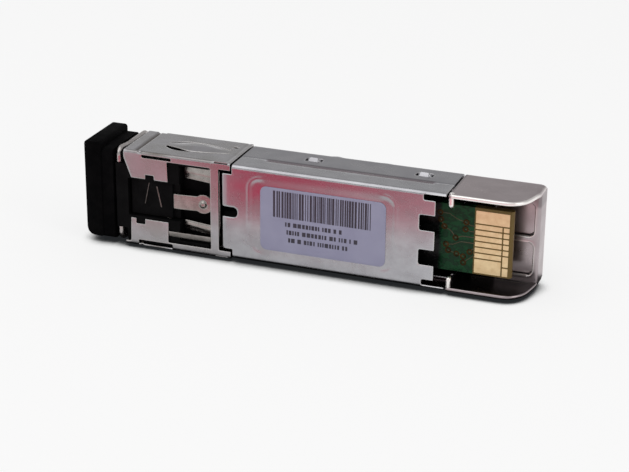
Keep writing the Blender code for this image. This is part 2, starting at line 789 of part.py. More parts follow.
def make_label(film):
    """Blank rating label on the cover's face."""
    low = label_offset - label_height / 2
    outline = rounded_outline(-cover_face_front + label_front_margin, -cover_face_rear - label_rear_margin,
                              low, low + label_height, label_radius)
    prism("label_sticker", outline, "Y", nearest_point, -label_gap, film)


clear_scene()
module_frame = bpy.data.objects.new("module_frame", None)
bpy.context.scene.collection.objects.link(module_frame)
module_frame.location = Vector((plug_front / 2, -(nearest_point + farthest_point) / 2, -lowest_point)) * MM

sheet_steel = material("plated_steel", (0.60, 0.56, 0.56), 0.32, 1.0)
cup_steel = material("cup_steel", (0.56, 0.51, 0.50), 0.36, 1.0)
nose_steel = material("nose_steel", (0.58, 0.53, 0.52), 0.28, 1.0)
spring_steel = material("spring_steel", (0.70, 0.68, 0.66), 0.25, 1.0)
wire_steel = material("wire_steel", (0.72, 0.70, 0.69), 0.2, 1.0)
black_plastic = material("black_plastic", (0.012, 0.012, 0.013), 0.5, 0.0)
black_rubber = material("black_rubber", (0.010, 0.010, 0.011), 0.65, 0.0)
green_laminate = material("green_laminate", (0.012, 0.10, 0.045), 0.45, 0.0)
chip_black = material("chip_black", (0.02, 0.02, 0.022), 0.55, 0.0)
brass_metal = material("barrel_metal", (0.62, 0.58, 0.50), 0.35, 1.0)
can_metal = material("can_metal", (0.70, 0.66, 0.55), 0.3, 1.0)
flex_film = material("flex_film", (0.45, 0.22, 0.06), 0.5, 0.0)
label_film = material("label_film", (0.50, 0.48, 0.58), 0.5, 0.0)

make_label_cover(sheet_steel)
make_main_shell(sheet_steel)
make_rear_cup(cup_steel)
make_nose_shield(nose_steel)
make_housing(black_plastic)
make_latch(black_plastic, spring_steel)
make_bail(wire_steel)
make_dust_plug(black_rubber)
make_board(green_laminate, chip_black)
make_board_frame(black_plastic)
make_optics(brass_metal, can_metal, flex_film)
make_label(label_film)
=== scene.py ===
"""Looks of a small pluggable optical transceiver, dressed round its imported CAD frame.

Shapes are worked out in the module's own axes, in millimetres: x runs from the rear end (0)
towards the nose (negative), depth from the label face inwards, and height across the width.
"""
import json
import math
from functools import partial

import bmesh
import bpy
import numpy as np
from mathutils import Matrix, Vector

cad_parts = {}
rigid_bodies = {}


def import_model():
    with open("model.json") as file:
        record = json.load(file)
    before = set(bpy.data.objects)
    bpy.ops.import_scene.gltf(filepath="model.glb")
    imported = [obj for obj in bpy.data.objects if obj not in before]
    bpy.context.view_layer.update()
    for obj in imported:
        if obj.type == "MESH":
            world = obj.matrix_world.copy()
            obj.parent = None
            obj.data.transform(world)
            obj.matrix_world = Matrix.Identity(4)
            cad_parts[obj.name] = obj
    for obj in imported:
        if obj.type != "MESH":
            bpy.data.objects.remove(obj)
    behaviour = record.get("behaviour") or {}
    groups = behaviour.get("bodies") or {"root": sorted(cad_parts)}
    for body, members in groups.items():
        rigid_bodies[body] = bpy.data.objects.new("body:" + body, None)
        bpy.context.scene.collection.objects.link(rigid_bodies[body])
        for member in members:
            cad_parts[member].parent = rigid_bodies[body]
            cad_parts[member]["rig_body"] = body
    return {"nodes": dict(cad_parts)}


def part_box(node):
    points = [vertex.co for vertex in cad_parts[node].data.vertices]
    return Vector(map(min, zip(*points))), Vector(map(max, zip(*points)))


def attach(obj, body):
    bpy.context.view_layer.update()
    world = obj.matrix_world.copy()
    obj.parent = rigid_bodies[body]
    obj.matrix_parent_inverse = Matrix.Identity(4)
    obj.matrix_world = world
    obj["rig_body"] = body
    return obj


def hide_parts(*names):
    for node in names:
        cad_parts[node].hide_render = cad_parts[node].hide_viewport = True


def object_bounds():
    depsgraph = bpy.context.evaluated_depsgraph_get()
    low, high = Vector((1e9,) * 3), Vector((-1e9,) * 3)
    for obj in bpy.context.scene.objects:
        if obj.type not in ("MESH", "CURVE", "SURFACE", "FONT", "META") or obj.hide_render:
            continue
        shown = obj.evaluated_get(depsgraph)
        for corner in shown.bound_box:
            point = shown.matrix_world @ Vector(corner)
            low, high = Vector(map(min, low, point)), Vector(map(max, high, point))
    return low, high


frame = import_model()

MM = 0.001
cad_box = [list(corner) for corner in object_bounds()]

cup_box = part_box("rear_cup")
ORIGIN = np.array([cup_box[1].x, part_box("label_cover")[0].y, (cup_box[0].z + cup_box[1].z) / 2]) / MM


def span(node):
    """A CAD node's lowest and highest corner, in millimetres in the module's own axes."""
    low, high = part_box(node)
    return np.array(low) / MM - ORIGIN, np.array(high) / MM - ORIGIN


# ---- shapes worked out with numpy

def grid_lines(step, *marks):
    """Places along one direction: each mark is one, and even steps no longer than step lie between."""
    marks = np.unique(np.round(marks, 5))
    runs = [np.linspace(a, b, math.ceil((b - a) / step), endpoint=False) for a, b in zip(marks, marks[1:])]
    return np.concatenate(runs + [marks[-1:]])


def both_ways(*marks):
    """Each place and its mirror image on the other side of 0."""
    return [*marks, *(-mark for mark in marks)]


def smooth(share):
    """0 below 0, 1 above 1, and three squares less two cubes between."""
    share = np.clip(share, 0, 1)
    return share * share * (3 - 2 * share)


def hump(place, middle, half):
    """Half a cosine wave lifted to 1 in the middle and 0 at half a width either side."""
    return np.where(np.abs(place - middle) < half, 0.5 + 0.5 * np.cos((place - middle) / half * np.pi), 0)


def oblong(u, w, u_span, w_span, radius=0.0):
    """Distance inside a rectangle with round corners: how far in from the nearest side a point lies or, in
    a corner, the radius less the distance from the middle of the corner's arc. It is negative outside."""
    du = np.abs(u - sum(u_span) / 2) - abs(u_span[1] - u_span[0]) / 2 + radius
    dw = np.abs(w - sum(w_span) / 2) - abs(w_span[1] - w_span[0]) / 2 + radius
    return radius - np.hypot(np.maximum(du, 0), np.maximum(dw, 0)) - np.minimum(np.maximum(du, dw), 0)


def either(*distances):
    """Inside any of the outlines: the largest distance."""
    return np.maximum.reduce(distances)


def without(distance, *holes):
    """Inside the first outline and outside every hole: the smallest of its distance and minus theirs."""
    return np.minimum.reduce([distance] + [-hole for hole in holes])


def bent(line, radius, along):
    """Point and outward normal at a distance along a line of straight runs with arcs in its corners.

    A point inside a bend turns with its share of the bend, at one radius from the bend's centre; the
    line turns left, so that its right-hand side is the outside.
    """
    line = np.array(line, float)
    run = np.diff(line, axis=0)
    length = np.hypot(*run.T)
    start = np.append(0, np.cumsum(length))
    heading = np.arctan2(run[:, 1], run[:, 0])
    leg = np.clip(np.searchsorted(start, along, side="right") - 1, 0, len(run) - 1)
    point = line[leg] + run[leg] / length[leg, None] * (along - start[leg])[:, None]
    angle = heading[leg]
    for corner in range(1, len(run)):
        turn = (heading[corner] - heading[corner - 1] + np.pi) % (2 * np.pi) - np.pi
        side = np.sign(turn)
        trim = radius * math.tan(abs(turn) / 2)
        share = (along - start[corner]) / trim
        inside = np.abs(share) < 1
        facing = heading[corner - 1] + (share + 1) / 2 * turn
        first = heading[corner - 1]
        centre = line[corner] - trim * np.array([math.cos(first), math.sin(first)])
        centre = centre + side * radius * np.array([-math.sin(first), math.cos(first)])
        arc = centre - side * radius * np.column_stack([-np.sin(facing), np.cos(facing)])
        point = np.where(inside[:, None], arc, point)
        angle = np.where(inside, facing, angle)
    return point, np.column_stack([np.sin(angle), -np.cos(angle)])


def across_fold(line, radius, start, way=1):
    """Fold of a blank whose first distance is x and whose second runs along a (depth, height) line."""
    def carry(u, w):
        point, normal = bent(line, radius, way * (w - start))
        return np.column_stack([u, point]), np.column_stack([0 * u, normal])
    return carry


def length_fold(line, radius):
    """Fold of a blank whose first distance runs along an (x, depth) line and whose second is height."""
    def carry(u, w):
        point, normal = bent(line, radius, u)
        return np.column_stack([point, w]), np.column_stack([normal, 0 * u])
    return carry


def flat(depth):
    """No fold: the blank lies at one depth and faces the viewer of the label."""
    def carry(u, w):
        return np.column_stack([u, 0 * u + depth, w]), np.column_stack([0 * u, 0 * u - 1, 0 * u])
    return carry


REACH = 1e-4  # over which a distance's slope is measured
STRIDE = 0.15  # the farthest that one step moves an edge point
FADE = 0.18  # over which an edge's lightening, rub and painted highlight, falls to a third
ARC = 4  # strips of the half ellipse along an edge


def sheet(u_lines, w_lines, metal, carry, wall, rim=0.06, relief=None, dull=None):
    """Sheet part worked out on a grid of two distances over its flat blank.

    metal(u, w) is the distance inside the blank's outline. A cell is kept where it is positive in
    the cell's middle, and each point on the edge of the kept cells steps down the distance's slope
    onto the outline. carry(u, w) folds the blank into place and gives its outward normal, and
    relief(u, w) presses it out along that normal. The inner layer lies one wall further in, and half
    an ellipse joins the two along every edge, rim wide. The attribute "worn" is 1 at an edge, falls
    to 0 within the outer face, and is -1 on the inner one and where dull(u, w) is 1; the finish lightens
    an edge with rub and a painted highlight, and gives the -1 places painted shade.
    """
    u, w = np.meshgrid(u_lines, w_lines, indexing="ij")
    index = np.arange(u.size).reshape(u.shape)
    cells = np.stack([index[:-1, :-1], index[1:, :-1], index[1:, 1:], index[:-1, 1:]], -1).reshape(-1, 4)
    u, w = u.ravel(), w.ravel()
    cells = cells[metal(u[cells].mean(1), w[cells].mean(1)) - rim > 0]
    uses = np.bincount(cells.ravel(), minlength=u.size)
    edge = (uses > 0) & (uses < 4)
    for _ in range(3):
        slope_u = (metal(u + REACH, w) - metal(u - REACH, w)) / (2 * REACH)
        slope_w = (metal(u, w + REACH) - metal(u, w - REACH)) / (2 * REACH)
        steep = np.maximum(slope_u ** 2 + slope_w ** 2, 0.2)
        step = np.where(edge, np.clip((metal(u, w) - rim) / steep, -STRIDE, STRIDE), 0)
        u, w = u - step * slope_u, w - step * slope_w
    # worn: 1 lightens an edge with rub and a painted highlight; -1 darkens with painted shade.
    worn = np.exp(-np.maximum(metal(u, w) - rim, 0) / FADE)
    shaded = 0 * u if dull is None else dull(u, w)
    worn = worn - shaded * (1 + worn)
    outer, normal = carry(u, w)
    across = np.cross(outer[cells[:, 1]] - outer[cells[:, 0]], outer[cells[:, 3]] - outer[cells[:, 0]])
    if (across * normal[cells[:, 0]]).sum() < 0:
        cells = cells[:, ::-1]
    if relief is not None:
        outer = outer + relief(u, w)[:, None] * normal
    inner = outer - wall * normal
    sides = np.concatenate([cells[:, [k, (k + 1) % 4]] for k in range(4)])
    count = u.size
    sides = sides[~np.isin(sides[:, 0] * count + sides[:, 1], sides[:, 1] * count + sides[:, 0])]
    out = np.zeros_like(outer)
    lean = np.cross(outer[sides[:, 1]] - outer[sides[:, 0]], normal[sides[:, 0]])
    lean /= np.maximum(np.linalg.norm(lean, axis=1), 1e-9)[:, None]
    np.add.at(out, sides[:, 0], lean)
    np.add.at(out, sides[:, 1], lean)
    out /= np.maximum(np.linalg.norm(out, axis=1), 1e-9)[:, None]
    rows = [outer]
    for k in range(1, ARC):
        angle = math.pi * k / ARC
        rows.append((outer + inner) / 2 + math.cos(angle) * (outer - inner) / 2 + math.sin(angle) * rim * out)
    rows.append(inner)
    faces = [cells, cells[:, ::-1] + ARC * count]
    for k in range(ARC):
        first, second = sides[:, 0] + k * count, sides[:, 1] + k * count
        faces.append(np.column_stack([second, first, first + count, second + count]))
    # Rim rows lighten as an edge does, except where dull(u, w) lays painted shade.
    worn = np.concatenate([worn] + [1 - 2 * shaded] * (ARC - 1) + [np.full(count, -1.0)])
    return tidy(np.concatenate(rows), np.concatenate(faces), worn)


def strip(steps, u_span, w_span, radius, *rest):
    """Sheet part whose blank is one rectangle with round corners."""
    return sheet(grid_lines(steps[0], *u_span), grid_lines(steps[1], *w_span),
                 lambda u, w: oblong(u, w, u_span, w_span, radius), *rest)


def tidy(points, faces, worn=None):
    """Leaves out points that no face uses."""
    used, faces_new = np.unique(faces, return_inverse=True)
    worn = np.zeros(len(points)) if worn is None else worn
    return points[used], faces_new.reshape(faces.shape), worn[used]


def belt(rows, around, closed=False):
    """Faces between rows of points, each row a ring; when closed, the last row meets the first."""
    i, j = np.meshgrid(np.arange(rows if closed else rows - 1), np.arange(around), indexing="ij")
    this, after, beside = i * around, (i + 1) % rows * around, (j + 1) % around
    return np.stack([this + j, this + beside, after + beside, after + j], -1).reshape(-1, 4)


def tube(path, radius, around=20, aside=(1, 0, 0)):
    """Round wire along a path: each ring is a circle square to the path, and a dome closes each end.

    A ring's first axis is the path's direction crossed with aside, which never lies along the path.
    """
    path = np.array(path, float)
    along = np.gradient(path, axis=0)
    along /= np.linalg.norm(along, axis=1)[:, None]
    lean = np.array([0.35, 0.7, 1.05, 1.35])[:, None]
    head = path[0] - radius * np.sin(lean[::-1]) * along[0]
    tail = path[-1] + radius * np.sin(lean) * along[-1]
    small = radius * np.cos(lean[:, 0])
    centres = np.concatenate([head, path, tail])
    ways = np.concatenate([np.repeat(along[:1], 4, 0), along, np.repeat(along[-1:], 4, 0)])
    sizes = np.concatenate([small[::-1], np.full(len(path), radius), small])
    first = np.cross(ways, np.array(aside, float))
    first /= np.linalg.norm(first, axis=1)[:, None]
    second = np.cross(ways, first)
    angle = np.arange(around) / around * 2 * np.pi
    ring = np.cos(angle)[:, None] * first[:, None] + np.sin(angle)[:, None] * second[:, None]
    points = (centres[:, None] + sizes[:, None, None] * ring).reshape(-1, 3)
    j = np.arange(around)
    last, tip = (len(centres) - 1) * around, np.full(around, len(centres) * around)
    caps = [np.column_stack([(j + 1) % around, j, tip, tip]),
            np.column_stack([last + j, last + (j + 1) % around, tip + 1, tip + 1])]
    faces = np.concatenate([belt(len(centres), around), *caps])
    return tidy(np.concatenate([points, centres[:1], centres[-1:]]), faces)


def repeated(faces, size, count):
    """The faces of one small shape of size points, for each of count shapes laid one after another."""
    return (faces[None] + size * np.arange(count)[:, None, None]).reshape(-1, 4)


def plates(low, high, edge):
    """Many small flat plates at once, one for each row of low and high: twelve outline points, eased at
    the corners, on a lower and an upper layer, the upper one drawn in by a quarter of the edge."""
    low, high = np.atleast_2d(low), np.atleast_2d(high)
    edge = np.minimum(edge, (high - low)[:, [0, 2]].min(1) * 0.4)
    ease = np.array([[0, 1], [0.3, 0.3], [1, 0]])
    ease = np.concatenate([ease, ease[::-1], ease, ease[::-1]])
    corner = np.repeat([[1, 1], [-1, 1], [-1, -1], [1, -1]], 3, 0)
    middle, half = (low + high) / 2, (high - low) / 2
    layers = []
    for drawn_in, depth in ((0, high[:, 1]), (0.25, low[:, 1])):
        outline = corner * (half[:, None, [0, 2]] - edge[:, None, None] * (ease + drawn_in))
        spot = np.empty(outline.shape[:2] + (3,))
        spot[..., [0, 2]] = middle[:, None, [0, 2]] + outline
        spot[..., 1] = depth[:, None]
        layers.append(spot)
    points = np.concatenate(layers, 1).reshape(-1, 3)
    top = [[12, 13, 14, 15], [12, 15, 16, 23], [16, 17, 22, 23], [17, 18, 21, 22], [18, 19, 20, 21]]
    return tidy(points, repeated(np.concatenate([belt(2, 12), top]), 24, len(low)))


def rings(centres, inner, outer, height, around=16):
    """Raised rings that face the label side: four circles each, low, high, high and low, round a centre."""
    centres = np.array(centres, float)
    angle = np.arange(around) / around * 2 * np.pi
    radius = np.array([inner, inner + 0.03, outer - 0.03, outer])[:, None]
    lift = np.array([0.0, -height, -height, 0.0])[:, None]
    circles = np.stack([radius * np.cos(angle), lift + 0 * angle, radius * np.sin(angle)], -1)
    points = (centres[:, None, None] + circles).reshape(-1, 3)
    return tidy(points, repeated(belt(4, around, True), 4 * around, len(centres)))


def joined(*shapes):
    """Several shapes as one set of points, faces and wear."""
    starts = np.cumsum([0] + [len(points) for points, _, _ in shapes])
    return (np.concatenate([points for points, _, _ in shapes]),
            np.concatenate([faces + start for (_, faces, _), start in zip(shapes, starts)]),
            np.concatenate([worn for _, _, worn in shapes]))


def linked(name, data):
    """A new object in the scene."""
    made = bpy.data.objects.new(name, data)
    bpy.context.scene.collection.objects.link(made)
    return made


def placed(name, points, faces, finish, sharp, mend):
    """Object of its own mesh: mended in bmesh, turned outwards, smooth up to the sharp angle in degrees."""
    mesh = bpy.data.meshes.new(name)
    mesh.from_pydata(points, [], faces)
    shell = bmesh.new()
    shell.from_mesh(mesh)
    mend(shell)
    bmesh.ops.recalc_face_normals(shell, faces=shell.faces)
    shell.to_mesh(mesh)
    shell.free()
    mesh.shade_smooth()
    mesh.set_sharp_from_angle(angle=math.radians(sharp))
    mesh.materials.append(finish)
    return linked(name, mesh)


def piece(name, shape, finish, body, replaces=(), sharp=50):
    """Puts a worked-out shape into a mesh at its place and lets it ride on its body."""
    points, faces, worn = shape
    faces = [list(dict.fromkeys(face)) for face in faces.tolist()]
    made = placed(name, ((points + ORIGIN) * MM).tolist(), faces, finish, sharp, lambda shell: None)
    made.data.attributes.new("worn", "FLOAT", "POINT").data.foreach_set("value", worn.astype(np.float32))
    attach(made, body)
    if replaces:
        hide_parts(*replaces)


SHARP = 40  # degrees beyond which a moulding's edge is rounded


def eased(node, name, finish, width):
    """A CAD node's shape in a mesh of its own: points merged, flat faces joined, sharp edges rounded off."""
    def mend(shell):
        bmesh.ops.remove_doubles(shell, verts=shell.verts, dist=2e-6)
        bmesh.ops.dissolve_limit(shell, angle_limit=math.radians(1), verts=shell.verts, edges=shell.edges)
    source = frame["nodes"][node].data
    made = placed(name, [v.co[:] for v in source.vertices], [p.vertices[:] for p in source.polygons],
                  finish, SHARP, mend)
    round_off = made.modifiers.new("round_off", "BEVEL")
    round_off.width = width * MM
    round_off.segments = 2
    round_off.limit_method = "ANGLE"
    round_off.angle_limit = math.radians(SHARP)
    round_off.harden_normals = True
    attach(made, frame["nodes"][node]["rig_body"])
    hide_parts(node)


# ---- finishes

def linear(text):
    """sRGB hex to linear colour."""
    value = np.array([int(text[k:k + 2], 16) for k in (1, 3, 5)]) / 255
    value = np.where(value <= 0.04045, value / 12.92, ((value + 0.055) / 1.055) ** 2.4)
    return (*value.tolist(), 1.0)


def node(tree, kind, sockets=None, **settings):
    """Adds one node with its settings. A socket takes a value, an output, or a node's first live output."""
    made = tree.nodes.new("ShaderNode" + kind)
    for name, value in settings.items():
        setattr(made, name, value)
    for name, value in (sockets or {}).items():
        if isinstance(value, bpy.types.Node):
            value = next(output for output in value.outputs if output.enabled)
        if isinstance(value, bpy.types.NodeSocket):
            tree.links.new(value, made.inputs[name])
        else:
            made.inputs[name].default_value = value
    return made


def per_mm(*sizes):
    """Mapping scale at which one unit of a pattern measures the given millimetres along x, y and z."""
    return [1 / (size * MM) for size in sizes]


def start(name):
    """A new material, the function that adds a node to its empty tree, and Object coordinates."""
    made = bpy.data.materials.new(name)
    made.use_nodes = True
    made.node_tree.nodes.clear()
    add = partial(node, made.node_tree)
    return made, add, add("TexCoord").outputs["Object"]


def plated_sheet(name, pale, dull, bright, inside, rough, rubbed=0.4):
    """Nickel-plated sheet steel, rolled and stamped.

    Rolling leaves fine lines along the sheet, 0.15 mm apart, drawn coarser than life. The plating
    clouds in patches a few millimetres wide, and handling leaves short scuffs. Cut edges are lighter,
    partly rubbed, partly a painted highlight; the inner face and dull places get painted shade.
    """
    made, add, place = start(name)
    rolled, cloud, scuff = [
        add("TexNoise", {0: add("Mapping", {0: place, 3: per_mm(*sizes)}), "Scale": 1.0,
                         "Detail": detail, "Roughness": fine})
        for detail, fine, *sizes in (
            (3.0, 0.6, 5.0, 0.15, 0.15), (3.0, 0.55, 3.2, 2.4, 2.4), (5.0, 0.7, 0.5, 0.9, 0.9))]
    worn = add("Attribute", attribute_name="worn").outputs["Fac"]
    clouded = add("MapRange", {0: cloud, 1: 0.35, 2: 0.65})
    lined = add("MapRange", {0: rolled, 1: 0.3, 2: 0.7, 4: 0.22})
    scuffed = add("MapRange", {0: scuff, 1: 0.62, 2: 0.74, 4: 0.35})
    # Edges lighten towards the bright colour: partly rub, partly a painted highlight.
    edge_rub_and_highlight = add("MapRange", {0: worn, 1: 0.35, 2: 1.0, 4: rubbed})
    # The inner face and the places a sheet marks dull take the inside colour: painted shade.
    within = add("MapRange", {0: worn, 1: 0.0, 2: -1.0})
    base = linear(pale)
    for share, over in ((clouded, dull), (lined, dull), (scuffed, bright), (edge_rub_and_highlight, bright), (within, inside)):
        base = add("Mix", {0: share, 6: base, 7: linear(over)}, data_type="RGBA")
    even = add("MapRange", {0: cloud, 1: 0.3, 2: 0.7, 3: rough - 0.035, 4: rough + 0.05})
    rougher = add("Math", {0: scuffed, 1: 0.23, 2: even}, operation="MULTIPLY_ADD")
    lines = add("Bump", {"Height": rolled, "Strength": 0.25, "Distance": 0.004 * MM})
    waves = add("Bump", {"Height": cloud, "Strength": 0.5, "Distance": 0.02 * MM, "Normal": lines})
    add("OutputMaterial", {"Surface": add("BsdfPrincipled", {
        "Base Color": base, "Metallic": 1.0, "Roughness": rougher, "Normal": waves})})
    return made


def lined_metal(name, pale, deep, rough, line, patch, smoother, strength, scratches):
    """Smooth metal with slight patches, patch mm across, and fine lines along x, line mm long and apart."""
    made, add, place = start(name)
    along = add("Mapping", {0: place, 3: per_mm(*line)})
    lined = add("TexNoise", {0: along, "Scale": 1.0, "Detail": 2.0, "Roughness": 0.6})
    cloud = add("TexNoise", {0: place, "Scale": per_mm(patch)[0], "Detail": 3.0, "Roughness": 0.6})
    clouded = add("MapRange", {0: cloud, 1: 0.35, 2: 0.7})
    base = add("Mix", {0: clouded, 6: linear(pale), 7: linear(deep)}, data_type="RGBA")
    if scratches:
        scratched = add("MapRange", {0: lined, 1: 0.6, 2: 0.75, 4: scratches})
        base = add("Mix", {0: scratched, 6: base, 7: linear(pale)}, data_type="RGBA")
    even = add("MapRange", {0: lined, 1: 0.3, 2: 0.7, 3: rough - smoother, 4: rough + 0.08})
    lines = add("Bump", {"Height": lined, "Strength": strength, "Distance": 0.003 * MM})
    add("OutputMaterial", {"Surface": add("BsdfPrincipled", {
        "Base Color": base, "Metallic": 1.0, "Roughness": even, "Normal": lines})})
    return made


def bright_strip(name, pale, dull, rough):
    """Cold-rolled spring steel, polished by tumbling: smooth, with lines 0.1 mm apart and a slight haze."""
    return lined_metal(name, pale, dull, rough, (2.5, 0.1, 0.1), 1.2, 0.05, 0.2, 0)


def gold_finish(name, pale, deep, rough):
    """Gold plated over copper: soft warm metal, slightly mottled, with fine insertion scratches along x."""
    return lined_metal(name, pale, deep, rough, (1.6, 0.06, 0.06), 0.9, 0.06, 0.3, 0.5)


def moulded(name, body, rubbed, rough, texture, ior, depth, mirrors):
    """Moulded black polymer: spark-eroded pits, texture mm across, with rubbed patches and fine dust.

    The pits shade one another, so it mirrors less than a smooth moulding.
    """
    made, add, place = start(name)
    spark, patch, speck = [
        add("TexNoise", {0: place, "Scale": per_mm(size)[0], "Detail": detail, "Roughness": fine})
        for size, detail, fine in ((texture, 3.0, 0.65), (2.2, 3.0, 0.6), (0.16, 1.0, 0.5))]
    worn = add("MapRange", {0: patch, 1: 0.4, 2: 0.75})
    dusty = add("MapRange", {0: speck, 1: 0.72, 2: 0.84, 4: 0.07})
    colour = linear(body)
    for share, over in ((worn, rubbed), (dusty, "#4a4745")):
        colour = add("Mix", {0: share, 6: colour, 7: linear(over)}, data_type="RGBA")
    even = add("MapRange", {0: patch, 1: 0.3, 2: 0.7, 3: rough + 0.06, 4: rough - 0.08})
    pits = add("Bump", {"Height": spark, "Strength": 0.4, "Distance": depth * MM})
    add("OutputMaterial", {"Surface": add("BsdfPrincipled", {
        "Base Color": colour, "Roughness": even, "Normal": pits, "IOR": ior, "Specular IOR Level": mirrors})})
    return made


def laminate_finish():
    """Glass laminate under green solder mask: glossy over a faint weave, paler over copper areas.

    The edge under the contacts is bare yellow-brown laminate, and what lies under the covers is painted
    near black: painted shadow of the covers.
    """
    made, add, place = start("green_solder_mask_laminate")
    weave = add("Mapping", {0: place, 3: per_mm(0.5, 0.5, 0.5)})
    warp, weft = [add("TexWave", {0: weave, "Scale": 0.31, "Distortion": 0.4}, bands_direction=way)
                  for way in "XZ"]
    woven = add("Math", {0: warp.outputs["Fac"], 1: weft.outputs["Fac"]}, operation="MULTIPLY")
    area = add("Mapping", {0: place, 3: per_mm(1.1, 1.1, 0.7)})
    patch = add("TexNoise", {0: area, "Scale": 1.0, "Detail": 2.0, "Roughness": 0.5})
    copper = add("MapRange", {0: patch, 1: 0.5, 2: 0.53})
    threads = add("MapRange", {0: woven, 4: 0.14})
    across = add("SeparateXYZ", {0: place}).outputs["X"]
    bare = add("MapRange", {0: across, 1: (ORIGIN[0] - 7.9) * MM, 2: (ORIGIN[0] - 7.8) * MM})
    # Near black under the covers: painted shadow.
    cover_shadow = add("MapRange", {0: across, 1: (ORIGIN[0] - 12.1) * MM, 2: (ORIGIN[0] - 12.6) * MM})
    colour = linear("#062b16")
    for share, over in ((copper, "#0b3c20"), (threads, "#17502a"), (bare, "#6b5730"), (cover_shadow, "#050606")):
        colour = add("Mix", {0: share, 6: colour, 7: linear(over)}, data_type="RGBA")
    even = add("MapRange", {0: patch, 1: 0.3, 2: 0.7, 3: 0.24, 4: 0.4})
    lifted = add("Bump", {"Height": copper, "Strength": 0.5, "Distance": 0.03 * MM})
    add("OutputMaterial", {"Surface": add("BsdfPrincipled", {
        "Base Color": colour, "Roughness": even, "Normal": lifted, "IOR": 1.55, "Specular IOR Level": 0.16})})
    return made


def film_finish(name, face, shade, rough, tooth):
    """Printed polyester film: satin, even, with a faint tooth and slight lifting from the adhesive below."""
    made, add, place = start(name)
    pulp = add("TexNoise", {0: place, "Scale": per_mm(tooth)[0], "Detail": 2.0, "Roughness": 0.6})
    patch = add("TexNoise", {0: place, "Scale": per_mm(4.0)[0], "Detail": 2.0, "Roughness": 0.5})
    shaded = add("MapRange", {0: patch, 1: 0.35, 2: 0.65})
    colour = add("Mix", {0: shaded, 6: linear(face), 7: linear(shade)}, data_type="RGBA")
    even = add("MapRange", {0: pulp, 1: 0.3, 2: 0.7, 3: rough - 0.05, 4: rough + 0.05})
    lift = add("Bump", {"Height": patch, "Strength": 0.3, "Distance": 0.02 * MM})
    skin = add("Bump", {"Height": pulp, "Strength": 0.15, "Distance": 0.003 * MM, "Normal": lift})
    add("OutputMaterial", {"Surface": add("BsdfPrincipled", {
        "Base Color": colour, "Roughness": even, "Normal": skin, "IOR": 1.5})})
    return made


# The fourth colour of each finish is its painted shade colour; the cup's edges lighten fully to near white, a
# painted highlight.
cover_finish = plated_sheet("nickel_plated_cover_steel", "#b4b4b8", "#a5a4a8", "#d4d2d2", "#5a4247", 0.25)
shell_finish = plated_sheet("nickel_plated_shell_steel", "#a2a1a5", "#98979c", "#c4c2c3", "#4a3a3e", 0.29)
nose_finish = plated_sheet("nickel_plated_nose_steel", "#b0aeb2", "#a19f9f", "#cdc9c6", "#51473e", 0.25)
cup_finish = plated_sheet("tin_plated_cup_steel", "#b0a5a7", "#a69b9d", "#f6f2ef", "#3c3838", 0.30, 1.0)
spring_finish = bright_strip("rolled_spring_steel", "#aaa5a1", "#938e8a", 0.24)
wire_finish = bright_strip("drawn_stainless_wire", "#bdb8b6", "#a8a2a0", 0.27)
rib_finish = bright_strip("blued_spring_wire", "#77726f", "#5c5855", 0.3)
lacquered_finish = bright_strip("black_lacquered_steel", "#1d1c1c", "#151414", 0.5)
barrel_finish = bright_strip("turned_nickel_silver", "#c9c2b2", "#b3ab9b", 0.24)
housing_finish = moulded("moulded_black_polyester", "#040405", "#0b0b0c", 0.66, 0.09, 1.57, 0.008, 0.06)
plug_finish = moulded("moulded_black_elastomer", "#020203", "#080708", 0.82, 0.12, 1.50, 0.012, 0.05)
chip_finish = moulded("moulded_epoxy_chip", "#222224", "#2b2b2d", 0.5, 0.07, 1.6, 0.006, 0.3)
laminate = laminate_finish()
gold = gold_finish("hard_gold_on_copper", "#ecd5aa", "#dcc195", 0.42)
via_copper = gold_finish("tarnished_via_copper", "#4c3a20", "#1e1a12", 0.5)
lead_finish = film_finish("polyimide_lead_film", "#3a2412", "#2e1c0e", 0.35, 0.2)
track_finish = film_finish("copper_track_under_mask", "#3b3a20", "#4a3620", 0.3, 0.1)
label_face = film_finish("matt_polyester_label", "#9594ac", "#8e8da6", 0.5, 0.08)
label_ink = film_finish("thermal_print_resin", "#2c2a36", "#34323f", 0.4, 0.1)

# ---- label cover

cover_front = span("label_cover")[0][0]
shell_low, shell_high = span("main_shell")
body_front, body_rear = shell_low[0], shell_high[0]
label_low, label_high = span("label_sticker")
HALF = cup_box[1].z / MM - ORIGIN[2]  # half the body's width
FLANGE = shell_low[1] - 0.2  # how far the cover's flanges reach down the sides
SHEET = 0.3  # wall of the cover and the shell
BEND = 0.5
POCKET = 0.08  # how far the label's pocket is sunk
face_rear = body_rear - 1.4
tongue_half = 5.4
cover_edge = HALF + FLANGE
flange_edge, ear_edge = cover_edge - 0.12, cover_edge + 0.12
front_ear, rear_ear = body_front + 3.3, body_rear - 2.3
recess_x = (label_low[0] - 1.25, label_high[0] + 0.95)
recess_h = (label_low[2] - 0.5, label_high[2] + 0.62)


def seam_dip(u, inside):
    """1 at a flange's edge and 0 from 0.8 mm in, between the cover's front and rear ears alone."""
    between_ears = smooth((u - front_ear) / 0.6) * smooth((rear_ear - u) / 0.6)
    return between_ears * smooth(1 - inside / 0.8)


